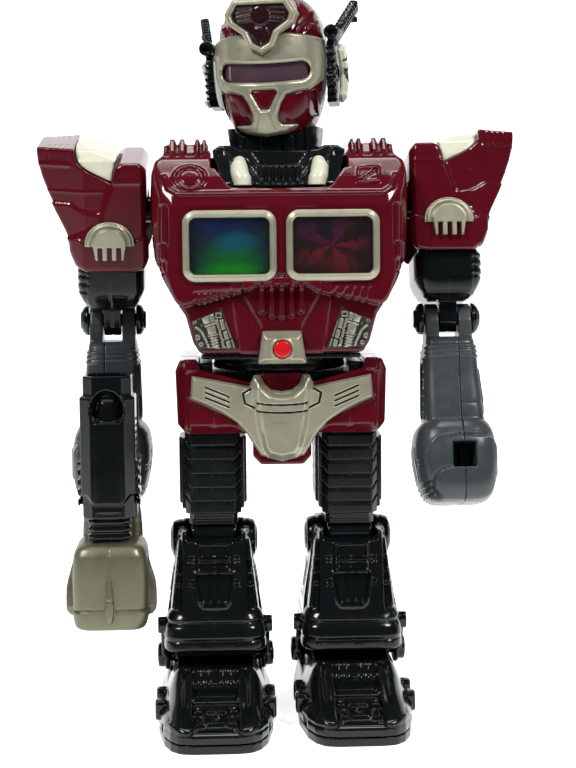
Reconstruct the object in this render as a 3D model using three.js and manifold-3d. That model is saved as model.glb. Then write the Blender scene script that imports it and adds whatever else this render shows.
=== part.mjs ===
// Walking toy robot, 328 mm tall, in moulded plastic shells.
// Millimetres, +Z up, the robot faces -Y, its own left side is +X.
// Origin: middle of the bounding box, on the surface that the soles stand on.
import * as THREE from 'three';
import { mergeVertices } from 'three/addons/utils/BufferGeometryUtils.js';
import Module from 'manifold-3d';
const wasm = await Module();
wasm.setup();

// ------------------------------------------------------------------ driving dimensions
const WALL = 2.2;             // shell wall
const GAP = 0.3;              // clearance between neighbouring pieces
const BOX_SHIFT_Y = 22.5;     // leg plane to middle of the bounding box
// legs
const LEG_X = 31;             // leg centre from the middle plane
const HIP_Z = 146.5, ANKLE_Z = 24;
const STRIDE = 1.6;           // legs stand one slightly ahead of the other, degrees
const SOLE_T = 4;             // sole plate thickness
const FOOT_HW = 25.5, TOE_HW = 17, TOE_Y = -80, HEEL_Y = 35;
const AXLE_R = 3;             // hip axle
// trunk
const PELVIS_TOP = 163, PELVIS_BOTTOM = 130, PELVIS_HW = 47;
const CHEST_BOTTOM = 166, CHEST_TOP = 255, CHEST_HW = 57;
const SPLIT_Y = 5;            // parting plane of the trunk shells
const WIN_X = 22.4, WIN_Z = 213.3, WIN_W = 40.8, WIN_H = 31;   // chest windows
// head
const NECK_Z = 252, HEAD_TILT = -1, HEAD_YAW = -12;
const EAR_LOW = 275, EAR_DROP = { right: 5, left: 0 };   // underside of the ear pods, and how far each is set down
// arms
const SHOULDER_Z = 230, ELBOW_DROP = 52, ARM_X = 76.5;
const ARM_SWING = { right: -12, left: 10 };      // forward positive, degrees
const ELBOW_BEND = { right: 12, left: 3 };       // forward positive, degrees
const SOCKET_W = 10.3, SOCKET_H = 11.5, SOCKET_D = 22;         // square fist socket
const SOCKET_X = 80, SOCKET_DZ = -64;            // from the elbow

// ------------------------------------------------------------------ materials
const mat = (c, r, m = 0) => new THREE.MeshStandardMaterial({ color: c, roughness: r, metalness: m });
const RED = mat(0x6d0713, 0.18), BLACK = mat(0x0d1112, 0.25), GREY = mat(0x454b4e, 0.4),
  CHAMP = mat(0xaaa88f, 0.35, 0.6), GOLD = mat(0x7c7556, 0.42, 0.6), SILVER = mat(0x9f9d8e, 0.35, 0.7),
  CREAM = mat(0xe6e3d3, 0.4), SMOKE = mat(0x2a1c24, 0.08), LENS = mat(0x30343a, 0.05),
  GLOW = mat(0x0a7a3c, 0.3), EMBER = mat(0x4a0c10, 0.3), BUTTON = mat(0xd0101a, 0.25), PCB = mat(0x3a3d33, 0.6);

// ------------------------------------------------------------------ solids
function outward(index, pos) {
  let v = 0;
  for (let i = 0; i < index.length; i += 3) {
    const [a, b, c] = [index[i] * 3, index[i + 1] * 3, index[i + 2] * 3];
    v += pos[a] * (pos[b + 1] * pos[c + 2] - pos[b + 2] * pos[c + 1])
      - pos[a + 1] * (pos[b] * pos[c + 2] - pos[b + 2] * pos[c])
      + pos[a + 2] * (pos[b] * pos[c + 1] - pos[b + 1] * pos[c]);
  }
  if (v < 0) for (let i = 0; i < index.length; i += 3) [index[i + 1], index[i + 2]] = [index[i + 2], index[i + 1]];
}
function solid(g) {
  g = g.clone(); g.deleteAttribute('normal'); g.deleteAttribute('uv');
  g = mergeVertices(g, 1e-4);
  const pos = new Float32Array(g.attributes.position.array), index = new Uint32Array(g.index.array);
  outward(index, pos);
  return new wasm.Manifold(new wasm.Mesh({ numProp: 3, vertProperties: pos, triVerts: index }));
}
// straight prism: axis x takes (y,z) points, y takes (x,z), z takes (x,y)
function prism(axis, pts, a, b) {
  const g = new THREE.ExtrudeGeometry(new THREE.Shape(pts.map(p => new THREE.Vector2(p[0], p[1]))),
    { depth: b - a, bevelEnabled: false, steps: 1, curveSegments: 1 });
  const p = g.attributes.position;
  for (let i = 0; i < p.count; i++) {
    const u = p.getX(i), v = p.getY(i), w = p.getZ(i) + a;
    if (axis === 'x') p.setXYZ(i, w, u, v); else if (axis === 'y') p.setXYZ(i, u, w, v); else p.setXYZ(i, u, v, w);
  }
  return solid(g);
}
const box = (x0, x1, y0, y1, z0, z1) => prism('z', [[x0, y0], [x1, y0], [x1, y1], [x0, y1]], z0, z1);
function circle(cu, cv, r, n = 20, from = 0) {
  return Array.from({ length: n }, (_, i) => {
    const t = from + i * 2 * Math.PI / n; return [cu + r * Math.cos(t), cv + r * Math.sin(t)];
  });
}
const cyl = (axis, cu, cv, r, a, b, n = 20) => prism(axis, circle(cu, cv, r, n, Math.PI / n), a, b);
function rrect(u0, u1, v0, v1, r, n = 3) {
  const out = [];
  for (const [cu, cv, t0] of [[u1 - r, v1 - r, 0], [u0 + r, v1 - r, 90], [u0 + r, v0 + r, 180], [u1 - r, v0 + r, 270]])
    for (let i = 0; i <= n; i++) {
      const t = (t0 + 90 * i / n) * Math.PI / 180; out.push([cu + r * Math.cos(t), cv + r * Math.sin(t)]);
    }
  return out;
}
// both sides of a half outline given from the top middle round to the bottom middle, u > 0
const sym = half => [...half.map(([u, v]) => [u, v]), ...half.slice().reverse().filter(([u]) => u > 1e-6).map(([u, v]) => [-u, v])];
// polygon moved inwards by d (mitred)
function inset(pts, d) {
  let area = 0; const n = pts.length;
  for (let i = 0; i < n; i++) { const [a, b] = [pts[i], pts[(i + 1) % n]]; area += a[0] * b[1] - b[0] * a[1]; }
  const s = Math.sign(area);
  return pts.map((p, i) => {
    const q = pts[(i + n - 1) % n], r = pts[(i + 1) % n];
    let ax = p[0] - q[0], ay = p[1] - q[1], bx = r[0] - p[0], by = r[1] - p[1];
    const la = Math.hypot(ax, ay), lb = Math.hypot(bx, by); ax /= la; ay /= la; bx /= lb; by /= lb;
    const n1 = [-ay * s, ax * s], n2 = [-by * s, bx * s], k = d / (1 + n1[0] * n2[0] + n1[1] * n2[1]);
    return [p[0] + (n1[0] + n2[0]) * k, p[1] + (n1[1] + n2[1]) * k];
  });
}
// closed loft through rings of equal point count
function loft(rings) {
  const n = rings[0].length, pos = [], idx = [];
  rings.forEach(r => r.forEach(p => pos.push(...p)));
  for (let k = 0; k < rings.length - 1; k++) for (let i = 0; i < n; i++) {
    const a = k * n + i, b = k * n + (i + 1) % n, c = a + n, d = b + n; idx.push(a, b, d, a, d, c);
  }
  for (const [k, flip] of [[0, true], [rings.length - 1, false]]) {
    const c = rings[k].reduce((s, p) => [s[0] + p[0] / n, s[1] + p[1] / n, s[2] + p[2] / n], [0, 0, 0]);
    const ci = pos.length / 3; pos.push(...c);
    for (let i = 0; i < n; i++) { const a = k * n + i, b = k * n + (i + 1) % n; flip ? idx.push(ci, b, a) : idx.push(ci, a, b); }
  }
  const g = new THREE.BufferGeometry();
  g.setAttribute('position', new THREE.Float32BufferAttribute(pos, 3)); g.setIndex(idx);
  return solid(g);
}
// rounded section at height z: half width, front y, back y, squareness
function section(z, hw, yf, yb, sq = 2.6, n = 28, cx = 0) {
  const yc = (yf + yb) / 2, hd = (yb - yf) / 2;
  return Array.from({ length: n }, (_, i) => {
    const t = (i + 0.5) * 2 * Math.PI / n, c = Math.cos(t), s = Math.sin(t);
    return [cx + hw * Math.sign(c) * Math.abs(c) ** (2 / sq), yc + hd * Math.sign(s) * Math.abs(s) ** (2 / sq), z];
  });
}
function geometry(m) {
  const mesh = m.getMesh(), g = new THREE.BufferGeometry();
  g.setAttribute('position', new THREE.Float32BufferAttribute(mesh.vertProperties.slice(), 3));
  g.setIndex(new THREE.Uint32BufferAttribute(mesh.triVerts.slice(), 1));
  g.computeVertexNormals(); return g;
}
// the same solid on the other side of the middle plane
function mirrored(m) {
  const mesh = m.getMesh(), pos = mesh.vertProperties.slice(), idx = mesh.triVerts.slice();
  for (let i = 0; i < pos.length; i += 3) pos[i] = -pos[i];
  for (let i = 0; i < idx.length; i += 3) [idx[i + 1], idx[i + 2]] = [idx[i + 2], idx[i + 1]];
  return new wasm.Manifold(new wasm.Mesh({ numProp: 3, vertProperties: pos, triVerts: idx }));
}
const union = (...s) => s.reduce((a, b) => a.add(b));
const BIG = 400;
const below = (m, axis, v) => m.intersect(axis === 'x' ? box(-BIG, v, -BIG, BIG, -BIG, BIG) : axis === 'y' ? box(-BIG, BIG, -BIG, v, -BIG, BIG) : box(-BIG, BIG, -BIG, BIG, -BIG, v));
const above = (m, axis, v) => m.intersect(axis === 'x' ? box(v, BIG, -BIG, BIG, -BIG, BIG) : axis === 'y' ? box(-BIG, BIG, v, BIG, -BIG, BIG) : box(-BIG, BIG, -BIG, BIG, v, BIG));

function put(group, name, m, material, centre = [0, 0, 0]) {
  const g = geometry(m); g.translate(-centre[0], -centre[1], -centre[2]);
  const mesh = new THREE.Mesh(g, material); mesh.name = name; mesh.position.set(...centre);
  group.add(mesh); return mesh;
}
// group turned about a point, its contents given in the parent's coordinates
function turned(parent, pivot, ...turns) {
  const outer = new THREE.Group(); outer.position.set(...pivot); parent.add(outer);
  let g = outer;
  turns.forEach(([axis, deg]) => { const t = new THREE.Group(); t.rotation[axis] = deg * Math.PI / 180; g.add(t); g = t; });
  const inner = new THREE.Group(); inner.position.set(-pivot[0], -pivot[1], -pivot[2]); g.add(inner);
  return inner;
}

const robot = new THREE.Group(); robot.name = 'toy_robot';
const lift = (HIP_Z - ANKLE_Z) * (1 - Math.cos(STRIDE * Math.PI / 180));
robot.position.set(0, BOX_SHIFT_Y, -lift);

// ------------------------------------------------------------------ pelvis
{
  const front = sym([[0, 157], [11.5, 157], [14.2, 152.8], [35.8, 158.6], [37.2, PELVIS_TOP], [45, PELVIS_TOP],
    [PELVIS_HW, 158], [46.3, 134], [42, PELVIS_BOTTOM], [0, PELVIS_BOTTOM - 0.01]]);
  const side = [[-32, 164], [-32, 134], [-28, 129], [31, 129], [35, 134], [35, 164]];
  const top = sym([[0, -32], [42, -32], [48, -26], [48, 29], [42, 35], [0, 35]]);
  const outer = prism('y', front, -40, 40).intersect(prism('x', side, -60, 60)).intersect(prism('z', top, 100, 170));
  const inner = prism('y', inset(front, WALL), -29.8, 32.8).intersect(prism('z', inset(top, WALL), 100, 170));
  let shell = outer.subtract(inner);
  for (const s of [-1, 1]) shell = shell.subtract(box(Math.min(s * 14.6, s * 44.4), Math.max(s * 14.6, s * 44.4), -27.4, 30.4, 125, 135.4));
  // deck filling the dip behind the belt, under the waist
  shell = shell.add(prism('y', sym([[0, 156.9], [29.4, 156.9], [29.4, 156], [14.2, 151.9], [0, 151.9]]), -26, 28));
  shell = shell.subtract(cyl('z', 0, 0, 6.6, 145, 170, 24));
  const tab = prism('y', sym([[0, 134], [13, 134], [13, 119.5], [9.5, 116], [0, 116.001]]), -32, -24);
  const tabInner = prism('y', sym([[0, 136], [10.8, 136], [10.8, 120.6], [8.4, 118.2], [0, 118.201]]), -29.8, -20);
  const frontHalf = below(shell, 'y', SPLIT_Y - 10 - GAP / 2).add(tab).subtract(tabInner);
  // belt plate: winged plate over the front of the pelvis
  const wing = sym([[0, 149.4], [5.5, 150.6], [8.6, 156], [12.6, 155.6], [14.2, 151.2], [39.8, 156.2], [40.6, 146],
    [24, 138.5], [14.5, 128.6], [9.6, 120.4], [0, 117.6]]);
  const plate = prism('y', wing, -35.4, -32 - GAP);
  const rise = prism('y', sym([[0, 148.2], [6.4, 149.8], [9.2, 154.6], [12, 154.6], [13.2, 150], [9.8, 129], [6.6, 121.4], [0, 119.4]]), -38.6, -35);
  put(robot, 'pelvis_front', frontHalf, RED);
  put(robot, 'pelvis_back', above(shell, 'y', SPLIT_Y - 10 + GAP / 2), RED);
  put(robot, 'belt_plate', plate.add(rise), CHAMP);
  const gear = box(-12.6, 12.6, -20, 22, 134.6, 149.4).add(cyl('x', 0, HIP_Z, AXLE_R, -42.6, 42.6, 16))
    .add(cyl('x', 0, HIP_Z, 6, -14, 14, 16));
  put(robot, 'hip_gearbox', gear.intersect(box(-60, 60, -60, 60, 100, 149.4)), PCB);
}

// ------------------------------------------------------------------ legs
for (const [side, s] of [['right', -1], ['left', 1]]) {
  const f = m => s < 0 ? mirrored(m) : m;
  const leg = turned(robot, [0, 0, HIP_Z], ['x', s * STRIDE]);     // right leg forward, left leg back
  // thigh: ribbed column with splayed side ribs
  const col = prism('z', [[21.2, -22], [40.8, -22], [43.6, -17.5], [43.6, 19], [40.8, 22], [21.2, 22], [18.4, 19], [18.4, -17.5]], 92, 155)
    .intersect(prism('x', [[-23, 92], [-23, 134], [-11, 149], [-7, 150.5], [7, 150.5], [11, 149], [23, 134], [23, 92]], 10, 50));
  const ribs = prism('z', [[16, -12], [46.8, -12], [46.8, 14], [16, 14]], 96, 126.5)
    .add(prism('z', [[17, -17], [45.4, -17], [45.4, 18], [17, 18]], 94, 126.5));
  const knee = prism('z', [[22, -18], [40, -18], [42, -15], [42, 16], [20, 16], [20, -15]], 86.6, 93);
  let thigh = union(col, ribs, knee);
  const bore = prism('z', [[22.4, -19], [39.6, -19], [41.4, -16], [41.4, 17], [39.6, 19.6], [22.4, 19.6], [20.6, 17], [20.6, -16]], 89, 150)
    .intersect(prism('x', [[-20.6, 89], [-20.6, 132], [-8, 149.8], [8, 149.8], [20.6, 132], [20.6, 89]], 10, 50));
  thigh = thigh.subtract(bore.intersect(box(0, 60, -15.6, 14, 80, 160).add(bore.intersect(box(0, 60, -30, 30, 95, 160)))));
  thigh = thigh.subtract(box(24, 38, -12, 12, 80, 92)).subtract(cyl('x', 0, HIP_Z, AXLE_R + GAP, 0, 60, 16));
  put(leg, side + '_thigh', f(thigh), BLACK, [s * LEG_X, 0, 120]);
  // shin: flaring shell, open at top for the knee and at the bottom for the ankle
  const rings = (d) => [[32 + (d ? -4 : 0), 23.2, -35, 30], [37, 22.8, -34.4, 29.6], [42, 20.8, -32.6, 28.6], [56, 18.4, -30, 27],
    [70, 15.8, -27, 25.6], [84.5 + (d ? 6 : 0), 13.8, -24.4, 24]]
    .map(([z, hw, yf, yb]) => section(z, hw - d, yf + d, yb - d, 5, d ? 12 : 20, LEG_X));
  let shin = loft(rings(0));
  for (const dx of [-1, 1]) {
    const a = LEG_X + dx * 12, b = LEG_X + dx * 20.3;
    shin = shin.add(loft([[a, 9.6], [LEG_X + dx * 17.4, 9.2], [LEG_X + dx * 19.4, 7.4], [b, 4]].map(([x, r]) =>
      circle(0, 78, r, 14, Math.PI / 14).map(([y, z]) => [x, y, z]))));
  }
  shin = shin.subtract(loft(rings(WALL)));
  shin = shin.subtract(prism('x', [[-40, 90], [-40, 78.5], [-30, 78.5], [-20, 83], [-10, 90]], 18, 44));
  for (const dx of [-1, 1]) {
    const [xa, xb] = [LEG_X + dx * 21, LEG_X + dx * 23.4].sort((p, q) => p - q);
    shin = shin.add(prism('x', [[-9, 40], [-7, 19.5], [-3, 17.5], [3, 17.5], [7, 19.5], [9, 40]], xa, xb));
    const [ka, kb] = [LEG_X + dx * 22.6, LEG_X + dx * 27.2].sort((p, q) => p - q);
    shin = shin.add(cyl('x', 0, ANKLE_Z, 5.8, ka, kb, 16));
    const [ia, ib] = [LEG_X + dx * 14.6, LEG_X + dx * 22].sort((p, q) => p - q);
    shin = shin.add(cyl('x', 0, ANKLE_Z, 3, ia, ib, 16));
  }
  put(leg, side + '_shin', f(shin), BLACK, [s * LEG_X, 0, 58]);
  // foot: turns on the ankle studs
  const foot = turned(leg, [0, 0, ANKLE_Z], ['x', -s * STRIDE]);
  const half = [[0, HEEL_Y], [17, HEEL_Y - 1], [FOOT_HW - 2.5, HEEL_Y - 9], [FOOT_HW, 8], [FOOT_HW, -46], [FOOT_HW - 3, -66], [TOE_HW, -77.5], [12, TOE_Y], [0, TOE_Y]];
  const outline = sym(half).map(([x, y]) => [x + LEG_X, y]);
  const sole = prism('z', outline, 0, SOLE_T);
  const prof = [[TOE_Y, 0], [TOE_Y, 9], [-77, 12.6], [-58, 17.5], [-46, 22], [-38, 26.8], [-20, 26.8], [30, 26.8], [HEEL_Y, 20], [HEEL_Y, 0]];
  const upper = prism('z', outline, SOLE_T + GAP, 40).intersect(prism('x', prof, 0, 62));
  const channel = prism('x', [[-90, 11.6], [-76, 11.6], [-60, 12.6], [-47, 13.4], [-46, 16.6], [-38, 18], [-37, 40], [-90, 40]], LEG_X - 10, LEG_X + 10);
  const earPocket = union(box(LEG_X - 27, LEG_X - 20, -14, 14, 14, 40), box(LEG_X + 20, LEG_X + 27, -14, 14, 14, 40));
  const cavity = prism('z', inset(outline, WALL), 0, 40).intersect(prism('x', inset(prof, WALL).map(([y, z]) => [y, Math.max(z, -5)]), 0, 62))
    .subtract(prism('x', [[-90, 9.4], [-60, 10.4], [-44, 11.2], [-36, 15.8], [-34.8, 40], [-90, 40]], LEG_X - 12.2, LEG_X + 12.2))
    .subtract(box(LEG_X - 29.2, LEG_X - 17.8, -16.2, 16.2, 11.8, 40)).subtract(box(LEG_X + 17.8, LEG_X + 29.2, -16.2, 16.2, 11.8, 40))
    .subtract(cyl('x', 0, ANKLE_Z, 5.6, 0, 70, 16));
  let up = upper.subtract(channel).subtract(earPocket).subtract(cavity);
  for (const dx of [-1, 1]) {
    const [ia, ib] = [LEG_X + dx * 14.2, LEG_X + dx * 28].sort((p, q) => p - q);
    up = up.subtract(cyl('x', 0, ANKLE_Z, 3 + GAP, ia, ib, 16));
  }
  up = up.subtract(box(LEG_X - 23.8, LEG_X + 23.8, -36, 31, 26, 40));
  // side lugs
  for (const [y, l] of [[-44, 7], [-24, 7]]) for (const dx of [-1, 1]) {
    const [xa, xb] = [LEG_X + dx * (FOOT_HW - 1), LEG_X + dx * (FOOT_HW + 1.4)].sort((p, q) => p - q);
    up = up.add(box(xa, xb, y - l / 2, y + l / 2, 6, 15));
  }
  put(foot, side + '_foot_upper', f(up), BLACK, [s * LEG_X, -20, 12]);
  put(foot, side + '_foot_sole', f(sole), BLACK, [s * LEG_X, -20, 2]);
}

// ------------------------------------------------------------------ trunk
const collarFront = sym([[0, 255.6], [17.5, 255.6], [21, 257.6], [26, 257.6], [29.4, 255.2], [25.2, 239], [0, 238.4]]);
const collarSide = [[-37.5, 236], [-37, 240.5], [-25, 257.7], [22, 257.7], [24, 255], [24, 236]];
{
  const front = sym([[0, CHEST_TOP], [31, CHEST_TOP], [31.6, 260], [50.4, 260], [51, 253.6], [54.6, 250.6], [56.6, 245],
    [CHEST_HW, 225], [55.2, 208], [46.2, 190], [41.6, 183], [38.6, 171], [35.4, CHEST_BOTTOM], [0, CHEST_BOTTOM - 0.01]]);
  const side = [[-38.5, 165], [-40, 186], [-43, 191.6], [-46, 197], [-46, 230.5], [-43, 235.6], [-38, 243], [-31, 251], [-25, 255.2],
    [-20, 261], [20, 261], [24, 255.2], [31, 250], [34, 243], [34, 172], [31, 165]];
  const top = sym([[0, -47], [42.6, -47], [50.4, -43.6], [55.4, -36.5], [58, -27], [58, 18], [53, 29], [45, 35], [0, 35]]);
  const outer = prism('y', front, -60, 60).intersect(prism('x', side, -70, 70)).intersect(prism('z', top, 150, 270));
  const inner = prism('y', inset(front, WALL), -60, 60).intersect(prism('x', inset(side, WALL), -70, 70)).intersect(prism('z', inset(top, WALL), 150, 270))
    .subtract(box(-60, 60, -60, 60, 252.8, 270));
  let shell = outer.subtract(inner);
  // notch for the collar, shoulder bores, waist bore
  const notch = prism('y', inset(collarFront, -GAP).concat([]), -60, 24.4).add(prism('y', sym([[0, 262], [30.2, 262], [29.9, 255], [0, 254]]), -60, 24.4));
  shell = shell.subtract(notch);
  shell = shell.subtract(cyl('x', 0, SHOULDER_Z, 9.4, -70, 70, 24));
  shell = shell.subtract(cyl('z', 0, 0, 12, 160, 170, 24));
  const corner = (r, x0, x1, z0, z1) => rrect(x0, x1, z0, z1, r, 3);
  let chestFront = below(shell, 'y', SPLIT_Y - GAP / 2);
  // bars between the humps' ridges are cut as steps
  for (const s of [-1, 1]) {
    chestFront = chestFront.subtract(prism('y', corner(4, s * WIN_X - 18.8, s * WIN_X + 18.8, WIN_Z - 14.3, WIN_Z + 14.3), -60, -40));
    const p = [[39.5, 180.5], [26, 186], [19.5, 167.8], [37, 168.6]].map(([x, z]) => [s * x, z]);
    chestFront = chestFront.subtract(prism('y', inset(p, -GAP), -60, -39.2 + 0.0));
  }
  chestFront = chestFront.subtract(cyl('y', 0, 168.3, 3.2, -60, -20, 20));
  put(robot, 'chest_front', chestFront, RED);
  let chestBack = above(shell, 'y', SPLIT_Y + GAP / 2)
    .subtract(box(-29.3, 29.3, 25, 50, 177.7, 238.3))
    .subtract(box(-6.4, 6.4, 25, 50, 243.2, 247.8).intersect(box(-60, 60, 20, 50, 240, 249)));
  put(robot, 'chest_back', chestBack, RED);
  // windows: bezel, clear lens and the printed card behind it
  for (const [side, s] of [['right', -1], ['left', 1]]) {
    const cx = s * WIN_X;
    const flange = prism('y', rrect(cx - WIN_W / 2, cx + WIN_W / 2, WIN_Z - WIN_H / 2, WIN_Z + WIN_H / 2, 5.5, 3), -48.4, -46 - GAP);
    const spigot = prism('y', corner(3.8, cx - 18.5, cx + 18.5, WIN_Z - 14, WIN_Z + 14), -46.5, -42.6);
    const open = prism('y', corner(2.6, cx - 17.5, cx + 17.5, WIN_Z - 12.3, WIN_Z + 12.3), -60, -40);
    put(robot, side + '_window_bezel', flange.add(spigot).subtract(open), CHAMP);
    put(robot, side + '_window_lens', prism('y', corner(2.4, cx - 17.2, cx + 17.2, WIN_Z - 12, WIN_Z + 12), -47.4, -46), LENS);
    put(robot, side + '_window_card', prism('y', corner(2.4, cx - 17.2, cx + 17.2, WIN_Z - 12, WIN_Z + 12), -45.6, -44.6), s < 0 ? GLOW : EMBER);
    const p = [[39.5, 180.5], [26, 186], [19.5, 167.8], [37, 168.6]].map(([x, z]) => [s * x, z]);
    put(robot, side + '_abdomen_panel', prism('y', p, -42.4, -39.5), SILVER);
  }
  // demo button in its housing
  const hz = [161.6, 176.2];
  const housing = loft([[-40.3, 10.8, hz[0], 8.6, hz[1]], [-43.5, 10.7, hz[0], 8.2, hz[1] - 0.6], [-46, 8.2, hz[0] + 2.4, 6.4, hz[1] - 3]].map(([y, wb, zb, wt, zt]) =>
    [[-wb, y, zb], [wb, y, zb], [wt, y, zt], [-wt, y, zt]])).subtract(cyl('y', 0, 168.3, 4.1, -60, -20, 24));
  put(robot, 'button_housing', housing, CHAMP);
  put(robot, 'demo_button', cyl('y', 0, 168.3, 3.8, -47.2, -42.4, 24), BUTTON);
  // collar with its recess for the neck
  let collar = prism('y', collarFront, -60, 60).intersect(prism('x', collarSide, -40, 40));
  collar = collar.subtract(prism('y', sym([[0, 253.4], [20, 253.4], [26.4, 253.2], [23.2, 240.6], [20, 236], [0, 235]]), -22.4, 21.8)
    .intersect(box(-40, 40, -40, 40, 230, 246)));
  collar = collar.subtract(prism('y', sym([[0, 246], [24, 246], [22.6, 238], [0, 237]]), -31, 21.8).intersect(prism('x', [[-34, 236], [-33, 240.4], [-29, 246.01], [22, 246.01], [22, 236]], -40, 40)));
  collar = collar.subtract(cyl('z', 0, 0, 23, 248.2, 270, 24)).subtract(cyl('z', 0, 0, 9.8, 230, 260, 16));
  const pipes = {};
  for (const s of [-1, 1]) {
    const axisPts = [[-28.6, 252.6], [-32.6, 248.6], [-35.6, 243.6], [-37.4, 238.9]];
    const ringAt = ([y, z], i) => circle(0, 0, 3.7, 12, Math.PI / 12).map(([u, v]) => {
      const t = [38, 46, 58, 66][i] * Math.PI / 180;             // the pipe turns down towards its end
      return [s * (17 + [0, 0.6, 0, -1][i]) + u, y - v * Math.sin(t), z + v * Math.cos(t)];
    });
    pipes[s] = loft(axisPts.map(ringAt));
    collar = collar.subtract(loft(axisPts.map(([y, z], i) => circle(0, 0, 4.1, 12, Math.PI / 12).map(([u, v]) => {
      const t = [38, 46, 58, 66][i] * Math.PI / 180;
      return [s * (17 + [0, 0.6, 0, -1][i]) + u, y - v * Math.sin(t) + (i === 0 ? 0.8 : 0) - (i === 3 ? 1.5 : 0), z + v * Math.cos(t) + (i === 0 ? 0.8 : 0) - (i === 3 ? 3 : 0)];
    }))));
  }
  put(robot, 'collar', collar, BLACK);
  put(robot, 'right_collar_pipe', pipes[-1].subtract(prism('x', [[-60, 230], [-60, 239.4], [60, 239.4], [60, 230]], -60, 60)), CREAM);
  put(robot, 'left_collar_pipe', pipes[1].subtract(prism('x', [[-60, 230], [-60, 239.4], [60, 239.4], [60, 230]], -60, 60)), CREAM);
  // waist: plate under the chest, turntable and spindle in the pelvis
  const waist = prism('z', sym([[0, -37.6], [31, -37.6], [35.4, -33], [35.4, 28], [31, 31.6], [0, 31.6]]), 163.4, 165.6)
    .add(cyl('z', 0, 0, 30.2, 157.4, 164, 40)).add(cyl('z', 0, 0, 6.2, 151.2, 158, 24)).add(cyl('z', 0, 0, 11.6, 165, 169, 24));
  put(robot, 'waist_plate', waist, BLACK);
  // batteries go in a tray behind a door
  const tray = box(-29, 29, 9.4, 31.2, 178, 238).subtract(box(-27, 27, 12, 40, 180, 236));
  put(robot, 'battery_tray', tray, PCB);
  const door = prism('y', rrect(-29, 29, 178, 238, 3, 3), 31.6, 34.4).subtract(cyl('y', 0, 183, 2.4, 20, 40, 16));
  put(robot, 'battery_door', door, RED);
  put(robot, 'door_screw', cyl('y', 0, 183, 2.1, 31.8, 34.2, 16).subtract(box(-1.5, 1.5, 33.6, 36, 182.7, 183.3)), SILVER);
  put(robot, 'power_switch', box(-3, 3, 31.9, 34.2, 243.6, 247.4).add(box(-1.6, 1.6, 34, 36, 243.8, 247.2)), BLACK);
}

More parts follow.
